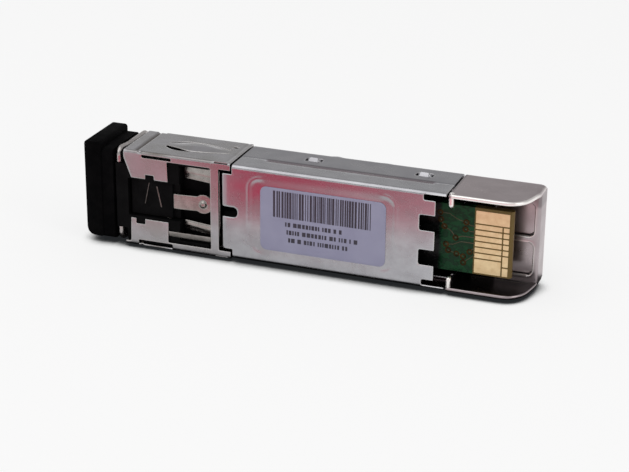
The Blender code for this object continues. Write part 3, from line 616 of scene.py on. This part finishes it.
def cover_metal(u, w):
    """Face, flanges, ears and front tongue, cut by two rear notches, two corner reliefs and a front slot."""
    side = np.abs(w)
    face = oblong(u, w, (body_front, face_rear), (-HALF, HALF))
    tongue = oblong(u, w, (cover_front, body_front + 3), (-tongue_half, tongue_half), 0.15)
    flange = oblong(u, side, (body_front, body_rear), (HALF - 0.35, flange_edge), 0.12)
    ears = [oblong(u, side, ends, (HALF, ear_edge), 0.1)
            for ends in ((body_front, front_ear), (rear_ear, body_rear))]
    notch = oblong(u, side, (face_rear - 2.1, face_rear + 2), (1.35, 3.45), 0.25)
    corner = oblong(u, side, (face_rear - 1.6, face_rear + 2), (HALF - 1.15, HALF - 0.3), 0.2)
    slot = oblong(u, w, (cover_front - 2, cover_front + 2.2), (-0.7, 0.7), 0.6)
    return without(either(face, tongue, flange, *ears), notch, corner, slot)


def cover_relief(u, w):
    """Pocket for the label, sunk by a smooth step that is short at its ends and long at its sides, with a
    low lip at the ends; the front edge rolled in; flange edges that dip between the ears; and very slight
    oil-canning."""
    inside = oblong(u, w, recess_x, recess_h, 1.2)
    ends = smooth((np.abs(u - sum(recess_x) / 2) - (recess_x[1] - recess_x[0]) / 2 + 2.2) / 1.2)
    pocket = smooth(inside / (1.6 - 1.0 * ends) + 0.5)
    lip = ends * hump(inside, -0.4, 0.4) * smooth((w + 2.8) / 2)
    canning = 0.006 * np.sin(u / 2.3 + 0.6) * np.cos(w / 3.1) * (np.abs(w) < HALF - 0.8)
    rolled = np.clip((cover_front + 0.75 - u) / 0.75, 0, 1) ** 2
    dip = seam_dip(u, flange_edge - np.abs(w))
    return -POCKET * pocket + 0.045 * lip + canning - 0.16 * rolled - 0.07 * dip


cover_blank = sheet(
    grid_lines(0.17, cover_front, body_front, face_rear - 2.1, face_rear - 1.6, face_rear, body_rear),
    grid_lines(0.17, *both_ways(0, 1.35, 3.45, tongue_half, HALF - BEND, HALF + BEND, flange_edge,
                                cover_edge + 0.17)),
    cover_metal, across_fold([(FLANGE + 0.3, HALF), (0, HALF), (0, -HALF), (FLANGE + 0.3, -HALF)], BEND,
                             cover_edge + 0.3, -1),
    # The last function darkens the flange edges between the ears: painted shade in the seam.
    SHEET, 0.07, cover_relief, lambda u, w: 0.85 * seam_dip(u, flange_edge - np.abs(w)))

SNAP = 1.15  # half the length of a snap tongue, and of its window


def snap_tongue(middle, side):
    """Tongue inside the shell wall: a strip along the depth, with a pillow pressed out into the window."""
    root, tip, out = 6.95, 2.4, HALF - 0.37
    line = [(root, out), (tip, out)] if side > 0 else [(tip, -out), (root, -out)]

    def pillow(u, w):
        depth = root - w if side > 0 else tip + w
        inside = oblong(u, depth, (middle - 1.13, middle + 1.13), (5.34, 6.6), 0.6)
        return 0.72 * smooth(inside / 0.66 + 0.04)
    return strip((0.1, 0.07), (middle - SNAP, middle + SNAP), (0, 4.55), 0.15,
                 across_fold(line, 0.05, 0), 0.2, 0.04, pillow)


front_snap, rear_snap = body_front + 9.5, body_rear - 4.7
tongues = [snap_tongue(middle, side) for middle in (front_snap, rear_snap) for side in (-1, 1)]
piece("cover_sheet", joined(cover_blank, *tongues), cover_finish, "module", ["label_cover"])

# ---- main shell

DEEP = shell_high[1]  # depth of the far face
LAP = 0.45  # how far the shell runs on under its neighbours
full_side = HALF + DEEP  # from the far face's middle round to the label face
shell_side = full_side - FLANGE  # where the cover's flange edge meets the shell
shell_edge = shell_side + LAP


def shell_metal(u, w):
    """Far face and flanges, with a window over each snap tongue."""
    whole = oblong(u, w, (body_front - LAP, body_rear + LAP), (-shell_edge, shell_edge), 0.12)
    depths = (full_side - 6.6, full_side - 5.35)
    return without(whole, *[oblong(u, np.abs(w), (middle - SNAP, middle + SNAP), depths, 0.25)
                            for middle in (front_snap, rear_snap)])


def shell_relief(u, w):
    """Two low grounding bumps near each far bend, edges that step in under the cover, the nose and the cup,
    and slight oil-canning."""
    bumps = hump(np.abs(w), HALF - 0.35, 0.75) * (hump(u, -28.7, 1.4) + 0.6 * hump(u, -21.7, 1.3))
    under = smooth((np.abs(w) - shell_side + 0.35) / 0.6)
    within = smooth((u - body_rear + 0.02) / 0.16) + smooth((body_front + 0.02 - u) / 0.16)
    canning = 0.006 * np.sin(u / 2.9) * np.cos(w / 2.7 + 0.5)
    return 0.28 * bumps + canning - 0.34 * under - 0.6 * within


# Close grid lines where the ends step in.
step_marks = np.array([-0.1, 0, 0.05, 0.1, 0.15, LAP])
shell_blank = sheet(
    grid_lines(0.2, *body_front - step_marks, front_snap - SNAP, front_snap + SNAP,
               rear_snap - SNAP, rear_snap + SNAP, *body_rear + step_marks),
    grid_lines(0.2, *both_ways(0, HALF - BEND, HALF + BEND, full_side - 6.55, full_side - 5.35, shell_side,
                               shell_edge)),
    shell_metal, across_fold([(FLANGE - LAP, -HALF), (DEEP, -HALF), (DEEP, HALF), (FLANGE - LAP, HALF)], BEND,
                             -shell_edge),
    # The last function darkens the shell's edges under the cover's flanges: painted shade in the seam.
    SHEET, 0.09, shell_relief, lambda u, w: 0.9 * seam_dip(u, shell_side + 0.1 - np.abs(w)))
piece("shell_sheet", shell_blank, shell_finish, "module", ["main_shell"])

# ---- rear cup

cup_front = span("rear_cup")[0][0]
CUP_WALL = 0.55
SHELF = 5.25  # depth of the shelf
SHELF_LONG = 9.0  # from its front edge to the rear end
shelf_reach = SHELF_LONG + (DEEP - SHELF)
inner_half = HALF - CUP_WALL + 0.1
window_u, window_h = (SHELF_LONG - 5.85, SHELF_LONG - 0.75), (0.45, 5.0)


def skirt_metal(u, w):
    """Far face and two skirts; each skirt's near rear corner is cut by two slanting lines, and where its
    edges meet they are rounded: minus the logarithm of the sum of each distance's falling exponential."""
    depth = full_side - np.abs(w)
    whole = oblong(u, w, (cup_front, 0), (-full_side, full_side), 0.25)
    slant = (-u + depth - 2.3) / math.sqrt(2)
    steep = (3.65 * (-u - 0.7) + 0.7 * (depth - 1.6)) / math.hypot(3.65, 0.7)
    corner = -np.log(np.exp(-3 * slant) + np.exp(-3 * steep) + np.exp(-3 * depth)) / 3
    return np.minimum(whole, np.maximum(corner, (depth - SHELF) * (np.abs(w) > HALF)))


def skirt_relief(u, w):
    """Edge turned in on an arc towards the end wall, and slight waves from drawing."""
    turned = np.clip((u + 0.9) / 0.9, 0, 1)
    return 0.012 * np.sin(u / 1.7) * np.cos(w / 2.1) - 0.5 * (1 - np.sqrt(1 - 0.84 * turned ** 2))


def skirt_painted_shade(u, w):
    """Painted shade by the shell's end and, less, along the lower skirt and round the rear bend."""
    rear = smooth((u + 0.5) / 0.4) * np.where(np.abs(w) < HALF, 0.6, 0.2)
    return np.maximum(0.75 * smooth((cup_front + 0.5 - u) / 0.3), 0.42 * smooth(-w - HALF) + rear)


skirts = sheet(
    grid_lines(0.15, cup_front, -2.3, -0.7, 0),
    grid_lines(0.16, *both_ways(0, HALF - 0.6, HALF + 0.6, full_side)),
    skirt_metal, across_fold([(0, -HALF), (DEEP, -HALF), (DEEP, HALF), (0, HALF)], 0.6, -full_side),
    CUP_WALL, 0.16, skirt_relief, skirt_painted_shade)


def shelf_window(u, w):
    """Distance inside the nearer of the shelf's two round-cornered windows."""
    return oblong(u, np.abs(w), window_u, window_h, 0.7)


# Shelf and end wall in one strip, with a pressed rim round each window.
shelf = sheet(
    grid_lines(0.12, 0, *window_u, SHELF_LONG, shelf_reach),
    grid_lines(0.16, *both_ways(*window_h, inner_half)),
    lambda u, w: without(oblong(u, w, (0, shelf_reach), (-inner_half, inner_half)), shelf_window(u, w)),
    length_fold([(-SHELF_LONG, SHELF), (0, SHELF), (0, DEEP)], 0.5), 0.4, 0.08,
    lambda u, w: 0.06 * hump(shelf_window(u, w), -0.15, 0.3),
    # The last function darkens the shelf's upper side and its front part: painted shade.
    lambda u, w: np.maximum(0.45 * smooth((w - 4.2) / 0.5), 0.9 * smooth((3.45 - u) / 0.25)))


def pocket_floor(ends):
    """Blank plate below a window."""
    return strip((0.3, 0.3), (-6.1, -0.55), ends, 0.8, flat(SHELF + 0.6), 0.2, 0.06)


def hook(side):
    """Skirt's front edge turned inwards: a strip with a round tip that faces the nose."""
    tip, root, deep = HALF - 1.95, HALF - 0.2, 1.05
    return sheet(grid_lines(0.08, 0, deep), grid_lines(0.1, *sorted((side * tip, side * root))),
                 lambda u, w: oblong(u, np.abs(w), (0, deep), (tip, root + 1), 0.45),
                 lambda u, w: (np.column_stack([0 * u + cup_front, u + 0.05, w]),
                               np.column_stack([0 * u - 1, 0 * u, 0 * u])), 0.75, 0.36)


cup = joined(skirts, shelf, hook(-1), hook(1), pocket_floor((0.25, 5.2)), pocket_floor((-5.2, -0.25)))
piece("cup_sheet", cup, cup_finish, "module", ["rear_cup"])

# ---- nose shield

NOSE = 6.85  # half the nose's width
NOSE_DEEP = 8.6
(NOSE_FRONT, *_), (NOSE_REAR, *_) = span("nose_shield")
GROOVE = -54.75
nose_round = 2 * NOSE + NOSE_DEEP
seam = nose_round - 0.05
finger_x = (-51.8, -42.4)
side_finger = NOSE + NOSE_DEEP / 2
far_finger = NOSE + NOSE_DEEP + (NOSE - 3.125)


def finger_share(u):
    """0 at a finger's front root, 1 at its rear root."""
    return np.clip((u - finger_x[0]) / (finger_x[1] - finger_x[0]), 0, 1)


def finger_half(u):
    """Half a finger's width: a bow that is widest a little in front of its middle."""
    return 0.55 + 1.2 * np.sin(finger_share(u) ** 0.8 * np.pi)


def finger_slit(u, w, middle):
    """Two bowed slits beside a finger: inside where the distance from its middle lies between two arcs."""
    off = np.abs(np.abs(w) - middle) - finger_half(u)
    half = 0.06 + 0.34 * hump(finger_share(u), 0.16, 0.3) * np.where(np.abs(w) < middle, 1.2, 0.5)
    return np.minimum(half - np.abs(off), oblong(u, 0 * u, (finger_x[0] + 0.1, finger_x[1] - 0.2), (-9, 9)))


def nose_metal(u, w):
    """Band round four sides with a seam in its far side; tabs and bar are what its cuts leave."""
    side = np.abs(w)
    whole = oblong(u, w, (NOSE_FRONT, NOSE_REAR), (-seam, seam), 0.1)
    slanted = np.minimum(-(u + 56.45 - 0.33 * (5.6 - w)) / 1.05, np.minimum(5.9 - w, w))
    return without(
        whole, slanted,
        oblong(u, w, (NOSE_FRONT - 3, -49.6), (-2.95, 2.85), 0.15),  # throat
        oblong(u, w, (NOSE_FRONT - 3, -55.7), (-6.3, 0), 0.2),  # front edge, set back
        oblong(u, w, (-53.4, -52.15), (2.0, 3.5), 0.1),  # feet of the throat
        oblong(u, w, (-54.9, -53.6), (-3.7, -2.0), 0.1),
        oblong(u, w, (-50.1, -43.8), (-5.8, 5.8), 0.12),  # window
        oblong(u, w, (-42.6, NOSE_REAR + 3), (-5.8, 5.8), 0.1),  # gap behind the bar
        oblong(u, w, (-53.8, -49.5), (6.0, 6.38), 0.12),  # slots beside the tabs
        oblong(u, w, (-54.5, -49.5), (-6.75, -6.0), 0.1),
        oblong(u, side, (-43.2, -41.3), (6.64, 7.02), 0.1),  # slots in the near bends
        oblong(u, side, (-42.95, -42.25), (NOSE + 5.95, NOSE + 6.5), 0.15),  # slots in the sides
        oblong(u, side, (-54.8, -53.7), (NOSE + NOSE_DEEP - 0.5, NOSE + NOSE_DEEP + 0.3), 0.1),
        finger_slit(u, w, side_finger), finger_slit(u, w, far_finger))


def nose_relief(u, w):
    """Fingers bowed outwards by a squared sine, a pressed groove behind the front rim, a dimple by the near
    bend, and the two tabs leaning in towards their free edges."""
    bow = np.sin(finger_share(u) * np.pi) ** 2
    lift = 0
    for middle in (side_finger, far_finger):
        inside = finger_half(u) - np.abs(np.abs(w) - middle)
        lift = lift + 0.37 * bow * smooth(inside / 1.5 + 0.1)
    beyond = smooth((np.abs(w) - NOSE - 0.3) / 0.5)
    ending = smooth((nose_round - NOSE - np.abs(w) + 0.2) / 0.5 + 0.5)
    groove = -0.26 * hump(u, GROOVE, 0.36) * beyond * ending
    dimple = -0.2 * hump(np.hypot(u + 54.1, np.abs(w) - NOSE - 0.1), 0, 0.45)
    rear = -0.05 * hump(u, -41.5, 0.3) * beyond
    lean = -0.07 * np.clip(6.0 - np.abs(w), 0, 3.5) * smooth((-49.3 - u) / 0.4)
    return lift + groove + dimple + rear + lean


def nose_painted_shade(u, w):
    """Painted shade in the groove and along the near bends, most of all by the tabs."""
    grooved = 0.85 * hump(u, GROOVE, 0.4) * smooth((np.abs(w) - NOSE) / 0.5)
    return np.maximum(grooved, (0.45 + 0.4 * hump(u, -51.6, 3)) * hump(np.abs(w), NOSE + 0.02, 0.45))


nose_blank = sheet(
    grid_lines(0.16, NOSE_FRONT, -55.1, -54.98, -54.86, GROOVE, -54.64, -54.52, -54.4, -50.1, -49.5, -43.8,
               -42.6, NOSE_REAR),
    grid_lines(0.17, -NOSE, -3.7, -2.95, 0, 2.85, 3.5, 6.38,
               *both_ways(5.8, 6.0, NOSE + 0.5, side_finger, NOSE + NOSE_DEEP, far_finger, seam)),
    nose_metal, across_fold([(NOSE_DEEP, 0), (NOSE_DEEP, NOSE), (0, NOSE), (0, -NOSE), (NOSE_DEEP, -NOSE),
                             (NOSE_DEEP, 0)], 0.32, nose_round, -1), 0.25, 0.045, nose_relief, nose_painted_shade)
piece("nose_sheet", nose_blank, nose_finish, "module", ["nose_shield"])

# ---- latch

plate_low, plate_high = span("latch_plate")
plate_line = [(plate_low[0], 0.9), (plate_low[0] + 1.1, 0.9), (plate_high[0], 1.34)]
plate_reach = np.hypot(*np.diff(np.array(plate_line), axis=0).T).sum()
boss_u = plate_reach - 1.25


def plate_metal(u, w):
    """Tongue with a round lobe about the boss."""
    return either(oblong(u, w, (0, plate_reach - 0.6), (-1.08, 1.08), 0.1), 1.38 - np.hypot(u - boss_u, w),
                  oblong(u, w, (boss_u, plate_reach), (-0.95, 0.95), 0.15))


def plate_relief(u, w):
    """Round boss with a dimple in its middle."""
    away = np.hypot(u - boss_u, w)
    return 0.32 * smooth(1.1 - away / 0.62) - 0.08 * hump(away, 0, 0.3)


plate = sheet(grid_lines(0.07, 0, plate_reach), grid_lines(0.07, -1.4, 1.4), plate_metal,
              length_fold(plate_line, 0.8), 0.3, 0.07, plate_relief)
piece("latch_tongue", plate, spring_finish, "latch", ["latch_plate"])

spring_low, spring_high = span("latch_spring")
spring_line = [(spring_low[0], 1.55), (-44.0, 0.7), (spring_high[0], 0.5)]
spring_reach = np.hypot(*np.diff(np.array(spring_line), axis=0).T).sum()
upper_leg, lower_leg = (3.35, 5.38), (-4.05, -2.6)


def spring_metal(u, w):
    """Two legs joined by a web under the nose's bar."""
    legs = [oblong(u, w, (0, spring_reach), leg, 0.2) for leg in (upper_leg, lower_leg)]
    return either(*legs, oblong(u, w, (spring_reach - 1.2, spring_reach), (lower_leg[0], upper_leg[1]), 0.15))


spring = sheet(grid_lines(0.12, 0, spring_reach - 1.2, spring_reach),
               grid_lines(0.12, *lower_leg, *upper_leg), spring_metal,
               length_fold(spring_line, 1.2), 0.22, 0.07,
               lambda u, w: 0.22 * hump(w, -3.1, 0.9) + 0.15 * hump(w, 4.4, 0.9))
rail = strip((0.15, 0.12), (-50.9, -42.7), (-4.98, -4.2), 0.15, flat(0.29), 0.09, 0.04,
             lambda u, w: 0.25 * (w + 4.59))
piece("latch_spring_strip", joined(spring, rail), spring_finish, "module", ["latch_spring"])

lever_top = span("latch_lever")[0][1]
eased("latch_lever", "lever_block", housing_finish, 0.1)


def rib(front, rear, radius):
    """Slender round rib on the lever, straight between two (x, height) points."""
    share = np.linspace(0, 1, 14)[:, None]
    ends = [np.array([x, lever_top, height]) for x, height in (front, rear)]
    return tube(ends[0] * (1 - share) + ends[1] * share, radius, 12)


ribs = joined(rib((-53.15, 2.15), (-53.8, -0.85), 0.06), rib((-52.0, 1.75), (-51.4, -1.05), 0.1))
piece("lever_ribs", ribs, rib_finish, "latch")

# ---- bail

bail_low, bail_high = span("bail_wire")
WIRE = 0.4  # radius of the wire
CORNER = 0.9  # radius of its bends
PIN = 1.65  # how far a pin reaches inwards
bail_x = (bail_low[0] + bail_high[0]) / 2
arm, near_end, far_end = bail_high[2] - WIRE, bail_low[1] + WIRE, bail_high[1] - WIRE


def bail_path():
    """Pin, arm, cross bar, arm and pin in (height, depth), with round corners; the near ends are set 0.33 mm
    forward by a smooth step."""
    line = [(arm - PIN, near_end), (arm, near_end), (arm, far_end),
            (-arm, far_end), (-arm, near_end), (PIN - arm, near_end)]
    reach = np.abs(np.diff(np.array(line), axis=0)).sum()
    marks = np.cumsum([PIN, far_end - near_end, 2 * arm, far_end - near_end])
    along = grid_lines(0.8, 0, reach, *[m + k for m in marks for k in np.linspace(-CORNER, CORNER, 11)])
    point, _ = bent(line, CORNER, along)
    forward = 0.33 * smooth((near_end + 2.4 - point[:, 1]) / 1.8)
    return np.column_stack([bail_x - forward, point[:, 1], point[:, 0]])


piece("bail_loop", tube(bail_path(), WIRE, 24), wire_finish, "bail", ["bail_wire"])

# ---- black mouldings

eased("receptacle_housing", "housing_block", housing_finish, 0.08)
eased("dust_plug", "plug_block", plug_finish, 0.12)

# ---- board

board_low, board_high = span("circuit_board")
near = board_low[1]  # depth of the board's near face
PAD = 0.035  # how far a pad stands out
PAD_GAP = 0.17
rows = np.arange(-3, 4) * 0.8
upper_edge, lower_edge = board_high[2] - 0.3, board_low[2] + 0.1


def corners(x_span, y_span, z_span):
    """Lowest and highest corners of many boxes, each span a pair of numbers or of rows of numbers."""
    return [np.column_stack(np.broadcast_arrays(x_span[k], y_span[k], z_span[k])) for k in (0, 1)]


def pad_corners(x_span, ends):
    """Corners of the pads between neighbouring ends across the board."""
    return corners(x_span, (near - PAD, near), (ends[:-1] + PAD_GAP / 2, ends[1:] - PAD_GAP / 2))


low_pads, high_pads = pad_corners((-7.7, -4.15), np.concatenate([[lower_edge], rows, [upper_edge]]))
low_tips, high_tips = pad_corners((-3.98, -3.22), np.concatenate([[lower_edge, -3.2], rows[1:]]))
high_pads[-1, 0] = -3.22  # the ground contact at the upper edge is one long pad
pads = plates(np.concatenate([low_pads, low_tips]), np.concatenate([high_pads, high_tips]), 0.06)
piece("contact_pads", pads, gold, "module", sharp=30)

vias = np.array([[-12.46, 3.3], [-12.34, 2.35], [-11.85, 1.44], [-8.95, 2.37], [-9.01, 1.39], [-10.3, 0.06],
                 [-11.55, -1.02], [-11.25, -1.82], [-10.11, -2.15], [-9.21, -2.41], [-9.17, -3.25],
                 [-8.35, -1.66]])
via_spots = np.column_stack([vias[:, 0], np.full(len(vias), near), vias[:, 1]])
piece("via_rings", rings(via_spots, 0.19, 0.43, 0.05), via_copper, "module", sharp=30)


def track(points, width=0.16):
    """Copper track under the mask: a low round ridge along straight runs with arcs between."""
    line = np.array(points, float)
    reach = np.hypot(*np.diff(line, axis=0).T).sum()
    along = np.linspace(0, reach, max(8, int(reach / 0.12)))
    point, _ = bent(line, 0.12, along)
    spine = np.column_stack([point[:, 0], 0 * along + near + width * 0.22, point[:, 1]])
    return tube(spine, width / 2, 8, (0, 1, 0))


tracks = [((-12.46, 3.3), (-11.2, 3.3), (-10.2, 2.7), (-8.95, 2.37)),
          ((-9.01, 1.39), (-8.4, 1.2), (-7.7, 1.2)),
          ((-12.34, 2.35), (-11.85, 1.44), (-10.9, 0.9), (-10.3, 0.06)),
          ((-10.3, 0.06), (-9.4, 0.4), (-7.7, 0.4)),
          ((-11.55, -1.02), (-10.6, -0.9), (-9.6, -0.4), (-7.7, -0.4)),
          ((-11.25, -1.82), (-10.11, -2.15), (-9.21, -2.41)), ((-8.35, -1.66), (-8.0, -1.2), (-7.7, -1.2)),
          ((-9.17, -3.25), (-8.4, -2.6), (-7.7, -2.0)), ((-8.95, 2.37), (-8.3, 2.0), (-7.7, 2.0))]
piece("board_tracks", joined(*[track(t) for t in tracks]), track_finish, "module")

# ---- label

sink = POCKET - 0.06  # depth of the label's face
sticker = strip((0.35, 0.3), (label_low[0], label_high[0]), (label_low[2], label_high[2]), 0.9,
                flat(sink), 0.05, 0.025, lambda u, w: 0.008 * np.sin(u / 1.9) * np.sin(w / 1.4))
piece("label_sheet", sticker, label_face, "module", ["label_sticker"])

# A bar pattern, then three rows of dashes in place of lettering, their widths and gaps drawn by chance.
INK = (sink - 0.018, sink + 0.02)
BARS, BARS_FRONT, BARS_LONG = 42, -34.75, 13.6
dice = np.random.default_rng(7)
widths = dice.choice([0.14, 0.16, 0.26, 0.36], BARS)
gaps = dice.choice([0.12, 0.12, 0.18, 0.27], BARS)
stops = np.cumsum(widths + gaps) - gaps
scale = BARS_LONG / stops[-1]
printed = [corners((BARS_FRONT + (stops - widths) * scale, BARS_FRONT + stops * scale), INK, (0.25, 3.95))]
for middle, first, last in ((-0.62, -33.2, -24.6), (-1.72, -33.0, -22.9), (-2.82, -33.0, -24.2)):
    widths = dice.choice([0.2, 0.28, 0.36, 0.5], 40)
    stops = first + np.cumsum(widths + dice.choice([0.13, 0.13, 0.16, 0.4], 40))
    kept = stops < last
    printed.append(corners((stops[kept] - widths[kept], stops[kept]), INK, (middle - 0.3, middle + 0.3)))
marks = plates(*[np.concatenate(rows_of) for rows_of in zip(*printed)], 0.015)
piece("label_bars", marks, label_ink, "module", sharp=30)

# ---- CAD nodes that keep their shape

for names, finish in ((("circuit_board",), laminate),
                      (("driver_chip", "amplifier_chip", "memory_chip", "controller_chip"), chip_finish),
                      (("board_frame",), housing_finish),
                      (("lever_pin",), spring_finish),
                      (("transmitter_barrel", "receiver_barrel"), barrel_finish),
                      (("transmitter_can", "receiver_can", "optics_clip"), lacquered_finish),
                      (("transmitter_leads", "receiver_leads"), lead_finish)):
    for name in names:
        for slot in frame["nodes"][name].material_slots:
            slot.material = finish

# ---- stage

def stage_plane(name, x_span, y_span, height, finish):
    """Flat rectangle of the stage between two spans."""
    mesh = bpy.data.meshes.new(name)
    places = [(x_span[i], y_span[j], height) for i, j in ((0, 0), (1, 0), (1, 1), (0, 1))]
    mesh.from_pydata(places, [], [(0, 1, 2, 3)])
    mesh.materials.append(finish)
    made = linked(name, mesh)
    return made


# White paper: it glows evenly to the camera, and to polished metal less towards the nose.
paper, add, place = start("white_paper_floor")
rays = add("LightPath").outputs
spot = add("SeparateXYZ", {0: place})
seen = add("Math", {0: rays["Is Camera Ray"], 1: rays["Is Transmission Ray"]}, operation="MAXIMUM")
lighter = add("MapRange", {0: spot.outputs["X"], 1: -0.008, 2: 0.024, 3: 0.18, 4: 0.82})
mirrored = add("Math", {0: rays["Is Glossy Ray"], 1: lighter}, operation="MULTIPLY")
share = add("Math", {0: seen, 1: 0.72, 2: mirrored}, operation="MULTIPLY_ADD")
# What stands within 3 mm of the paper hides the light from it, so a narrow dark line runs round its foot.
nearby = add("AmbientOcclusion", {"Distance": 3.0 * MM}, samples=12).outputs["AO"]
open_sky = add("MapRange", {0: nearby, 1: 0.35, 2: 0.85}, interpolation_type="SMOOTHSTEP")
white, pale = [add("Mix", {0: open_sky, 6: linear("#2b2d2f"), 7: (level, level, level, 1)}, data_type="RGBA")
               for level in (1, 0.93)]
glow = add("Emission", {"Color": white, "Strength": 1.0})
lit = add("MixShader", {0: share, 1: add("BsdfDiffuse", {"Color": pale}), 2: glow})
# Close round the object the paper is painted near black for glossy rays alone: polished metal mirrors a
# painted contact shadow.
beside, beyond = [
    add("MapRange", {0: add("Math", {0: spot.outputs[way]}, operation="ABSOLUTE"), 1: clear, 2: under})
    for way, clear, under in (("Y", 0.0068, 0.0058), ("X", 0.037, 0.033))]
close = add("Math", {0: beside, 1: beyond}, operation="MULTIPLY")
dark = add("Math", {0: close, 1: rays["Is Glossy Ray"]}, operation="MULTIPLY")
gloom = add("Emission", {"Color": linear("#101112"), "Strength": 1.0})
add("OutputMaterial", {"Surface": add("MixShader", {0: dark, 1: lit, 2: gloom})})
stage_plane("floor", (-3, 3), (-3, 3), cad_box[0][2] - 0.00002, paper)

# A low red card before the label face, which only polished metal mirrors. It glows in full before the
# body, at a third before the nose, at half in a patch beyond, which the nose's tabs mirror, and in full
# again far out.
red, add, place = start("red_card_glow")
spot = add("SeparateXYZ", {0: place})
x, y = spot.outputs["X"], spot.outputs["Y"]
slanted = add("Math", {0: x, 1: 0.2, 2: y}, operation="MULTIPLY_ADD")
noseward = add("Math", {0: y, 1: -0.4545, 2: x}, operation="MULTIPLY_ADD")
near_fade, side_fade, body_part, tab_part, nose_end, farther, rearward = [
    add("MapRange", {0: way, 1: first, 2: last, 3: at_first, 4: at_last})
    for way, first, last, at_first, at_last in (
        (slanted, -0.0195, -0.0275, 0, 1), (x, -0.015, 0.02, 1, 0.6), (noseward, -0.0094, -0.0074, 0.32, 1),
        (noseward, -0.0125, -0.0165, 0, 0.5), (noseward, -0.0275, -0.0245, 0, 1), (y, -0.0365, -0.039, 0, 1),
        (x, -0.038, -0.0355, 0, 1))]
body_part, tab_part, far_part, strength = [
    add("Math", {0: one, 1: other}, operation="MULTIPLY")
    for one, other in (
        (body_part, nose_end), (tab_part, nose_end), (farther, rearward), (near_fade, side_fade))]
parts = add("Math", {0: body_part, 1: tab_part}, operation="MAXIMUM")
parts = add("Math", {0: parts, 1: far_part}, operation="MAXIMUM")
strength = add("Math", {0: strength, 1: parts}, operation="MULTIPLY")
glow = add("Emission", {"Color": linear("#dc3a61"), "Strength": 1.0})
add("OutputMaterial", {"Surface": add("MixShader", {0: strength, 1: add("BsdfTransparent"), 2: glow})})
card = stage_plane("red_card", (-0.075, 0.075), (-0.085, -0.012), cad_box[0][2] + 0.0002, red)
for rays_of in ("camera", "diffuse", "shadow", "transmission", "volume_scatter"):
    setattr(card, "visible_" + rays_of, False)

# White studio: full white to the camera, dimmer as light, and dimmer overhead in polished metal.
world = bpy.data.worlds.new("studio")
bpy.context.scene.world = world
world.use_nodes = True
world.node_tree.nodes.clear()
add = partial(node, world.node_tree)
rays = add("LightPath").outputs
up = add("SeparateXYZ", {0: add("TexCoord").outputs["Generated"]}).outputs["Z"]
sky = add("MapRange", {0: up, 1: 0.0, 2: 0.3, 3: 1.0, 4: 0.5})
seen = add("Math", {0: rays["Is Glossy Ray"], 1: rays["Is Transmission Ray"]}, operation="MAXIMUM")
level = add("Mix", {0: seen, 2: 0.55, 3: sky}, data_type="FLOAT")
level = add("Mix", {0: rays["Is Camera Ray"], 2: level, 3: 1.0}, data_type="FLOAT")
add("OutputWorld", {"Surface": add("Background", {"Color": (1, 1, 1, 1), "Strength": level})})


def lamp(name, place, size, power, colour=(1, 1, 1)):
    """Rectangular area lamp that looks at the middle of the object."""
    data = bpy.data.lights.new(name, "AREA")
    data.shape = "RECTANGLE"
    data.size, data.size_y = size
    data.energy = power
    data.color = colour
    made = linked(name, data)
    made.location = place
    made.rotation_euler = (Vector((0, 0, 0.008)) - Vector(place)).to_track_quat("-Z", "Y").to_euler()
    made.visible_camera = False


lamp("key_softbox", (-0.16, -0.22, 0.46), (0.60, 0.60), 1.15)
lamp("side_softbox", (0.42, -0.16, 0.22), (0.2, 0.3), 0.35, (1.0, 0.97, 0.94))

# ---- camera

camera_data = bpy.data.cameras.new("camera")
camera_data.sensor_width = 36.0
camera_data.lens = 103.87
camera_data.clip_start = 0.01
camera = linked("camera", camera_data)
right = Vector((0.93745181, 0.34802669, 0.00784355))
upward = Vector((-0.1386336, 0.35256902, 0.92545979))
ahead = Vector((-0.31931931, 0.86866133, -0.37876466))
turned = Matrix((right, upward, -ahead)).transposed().to_4x4()
camera.matrix_world = Matrix.Translation((0.07861, -0.21218, 0.09608)) @ turned
bpy.context.scene.camera = camera
bpy.context.scene.view_settings.view_transform = "Standard"
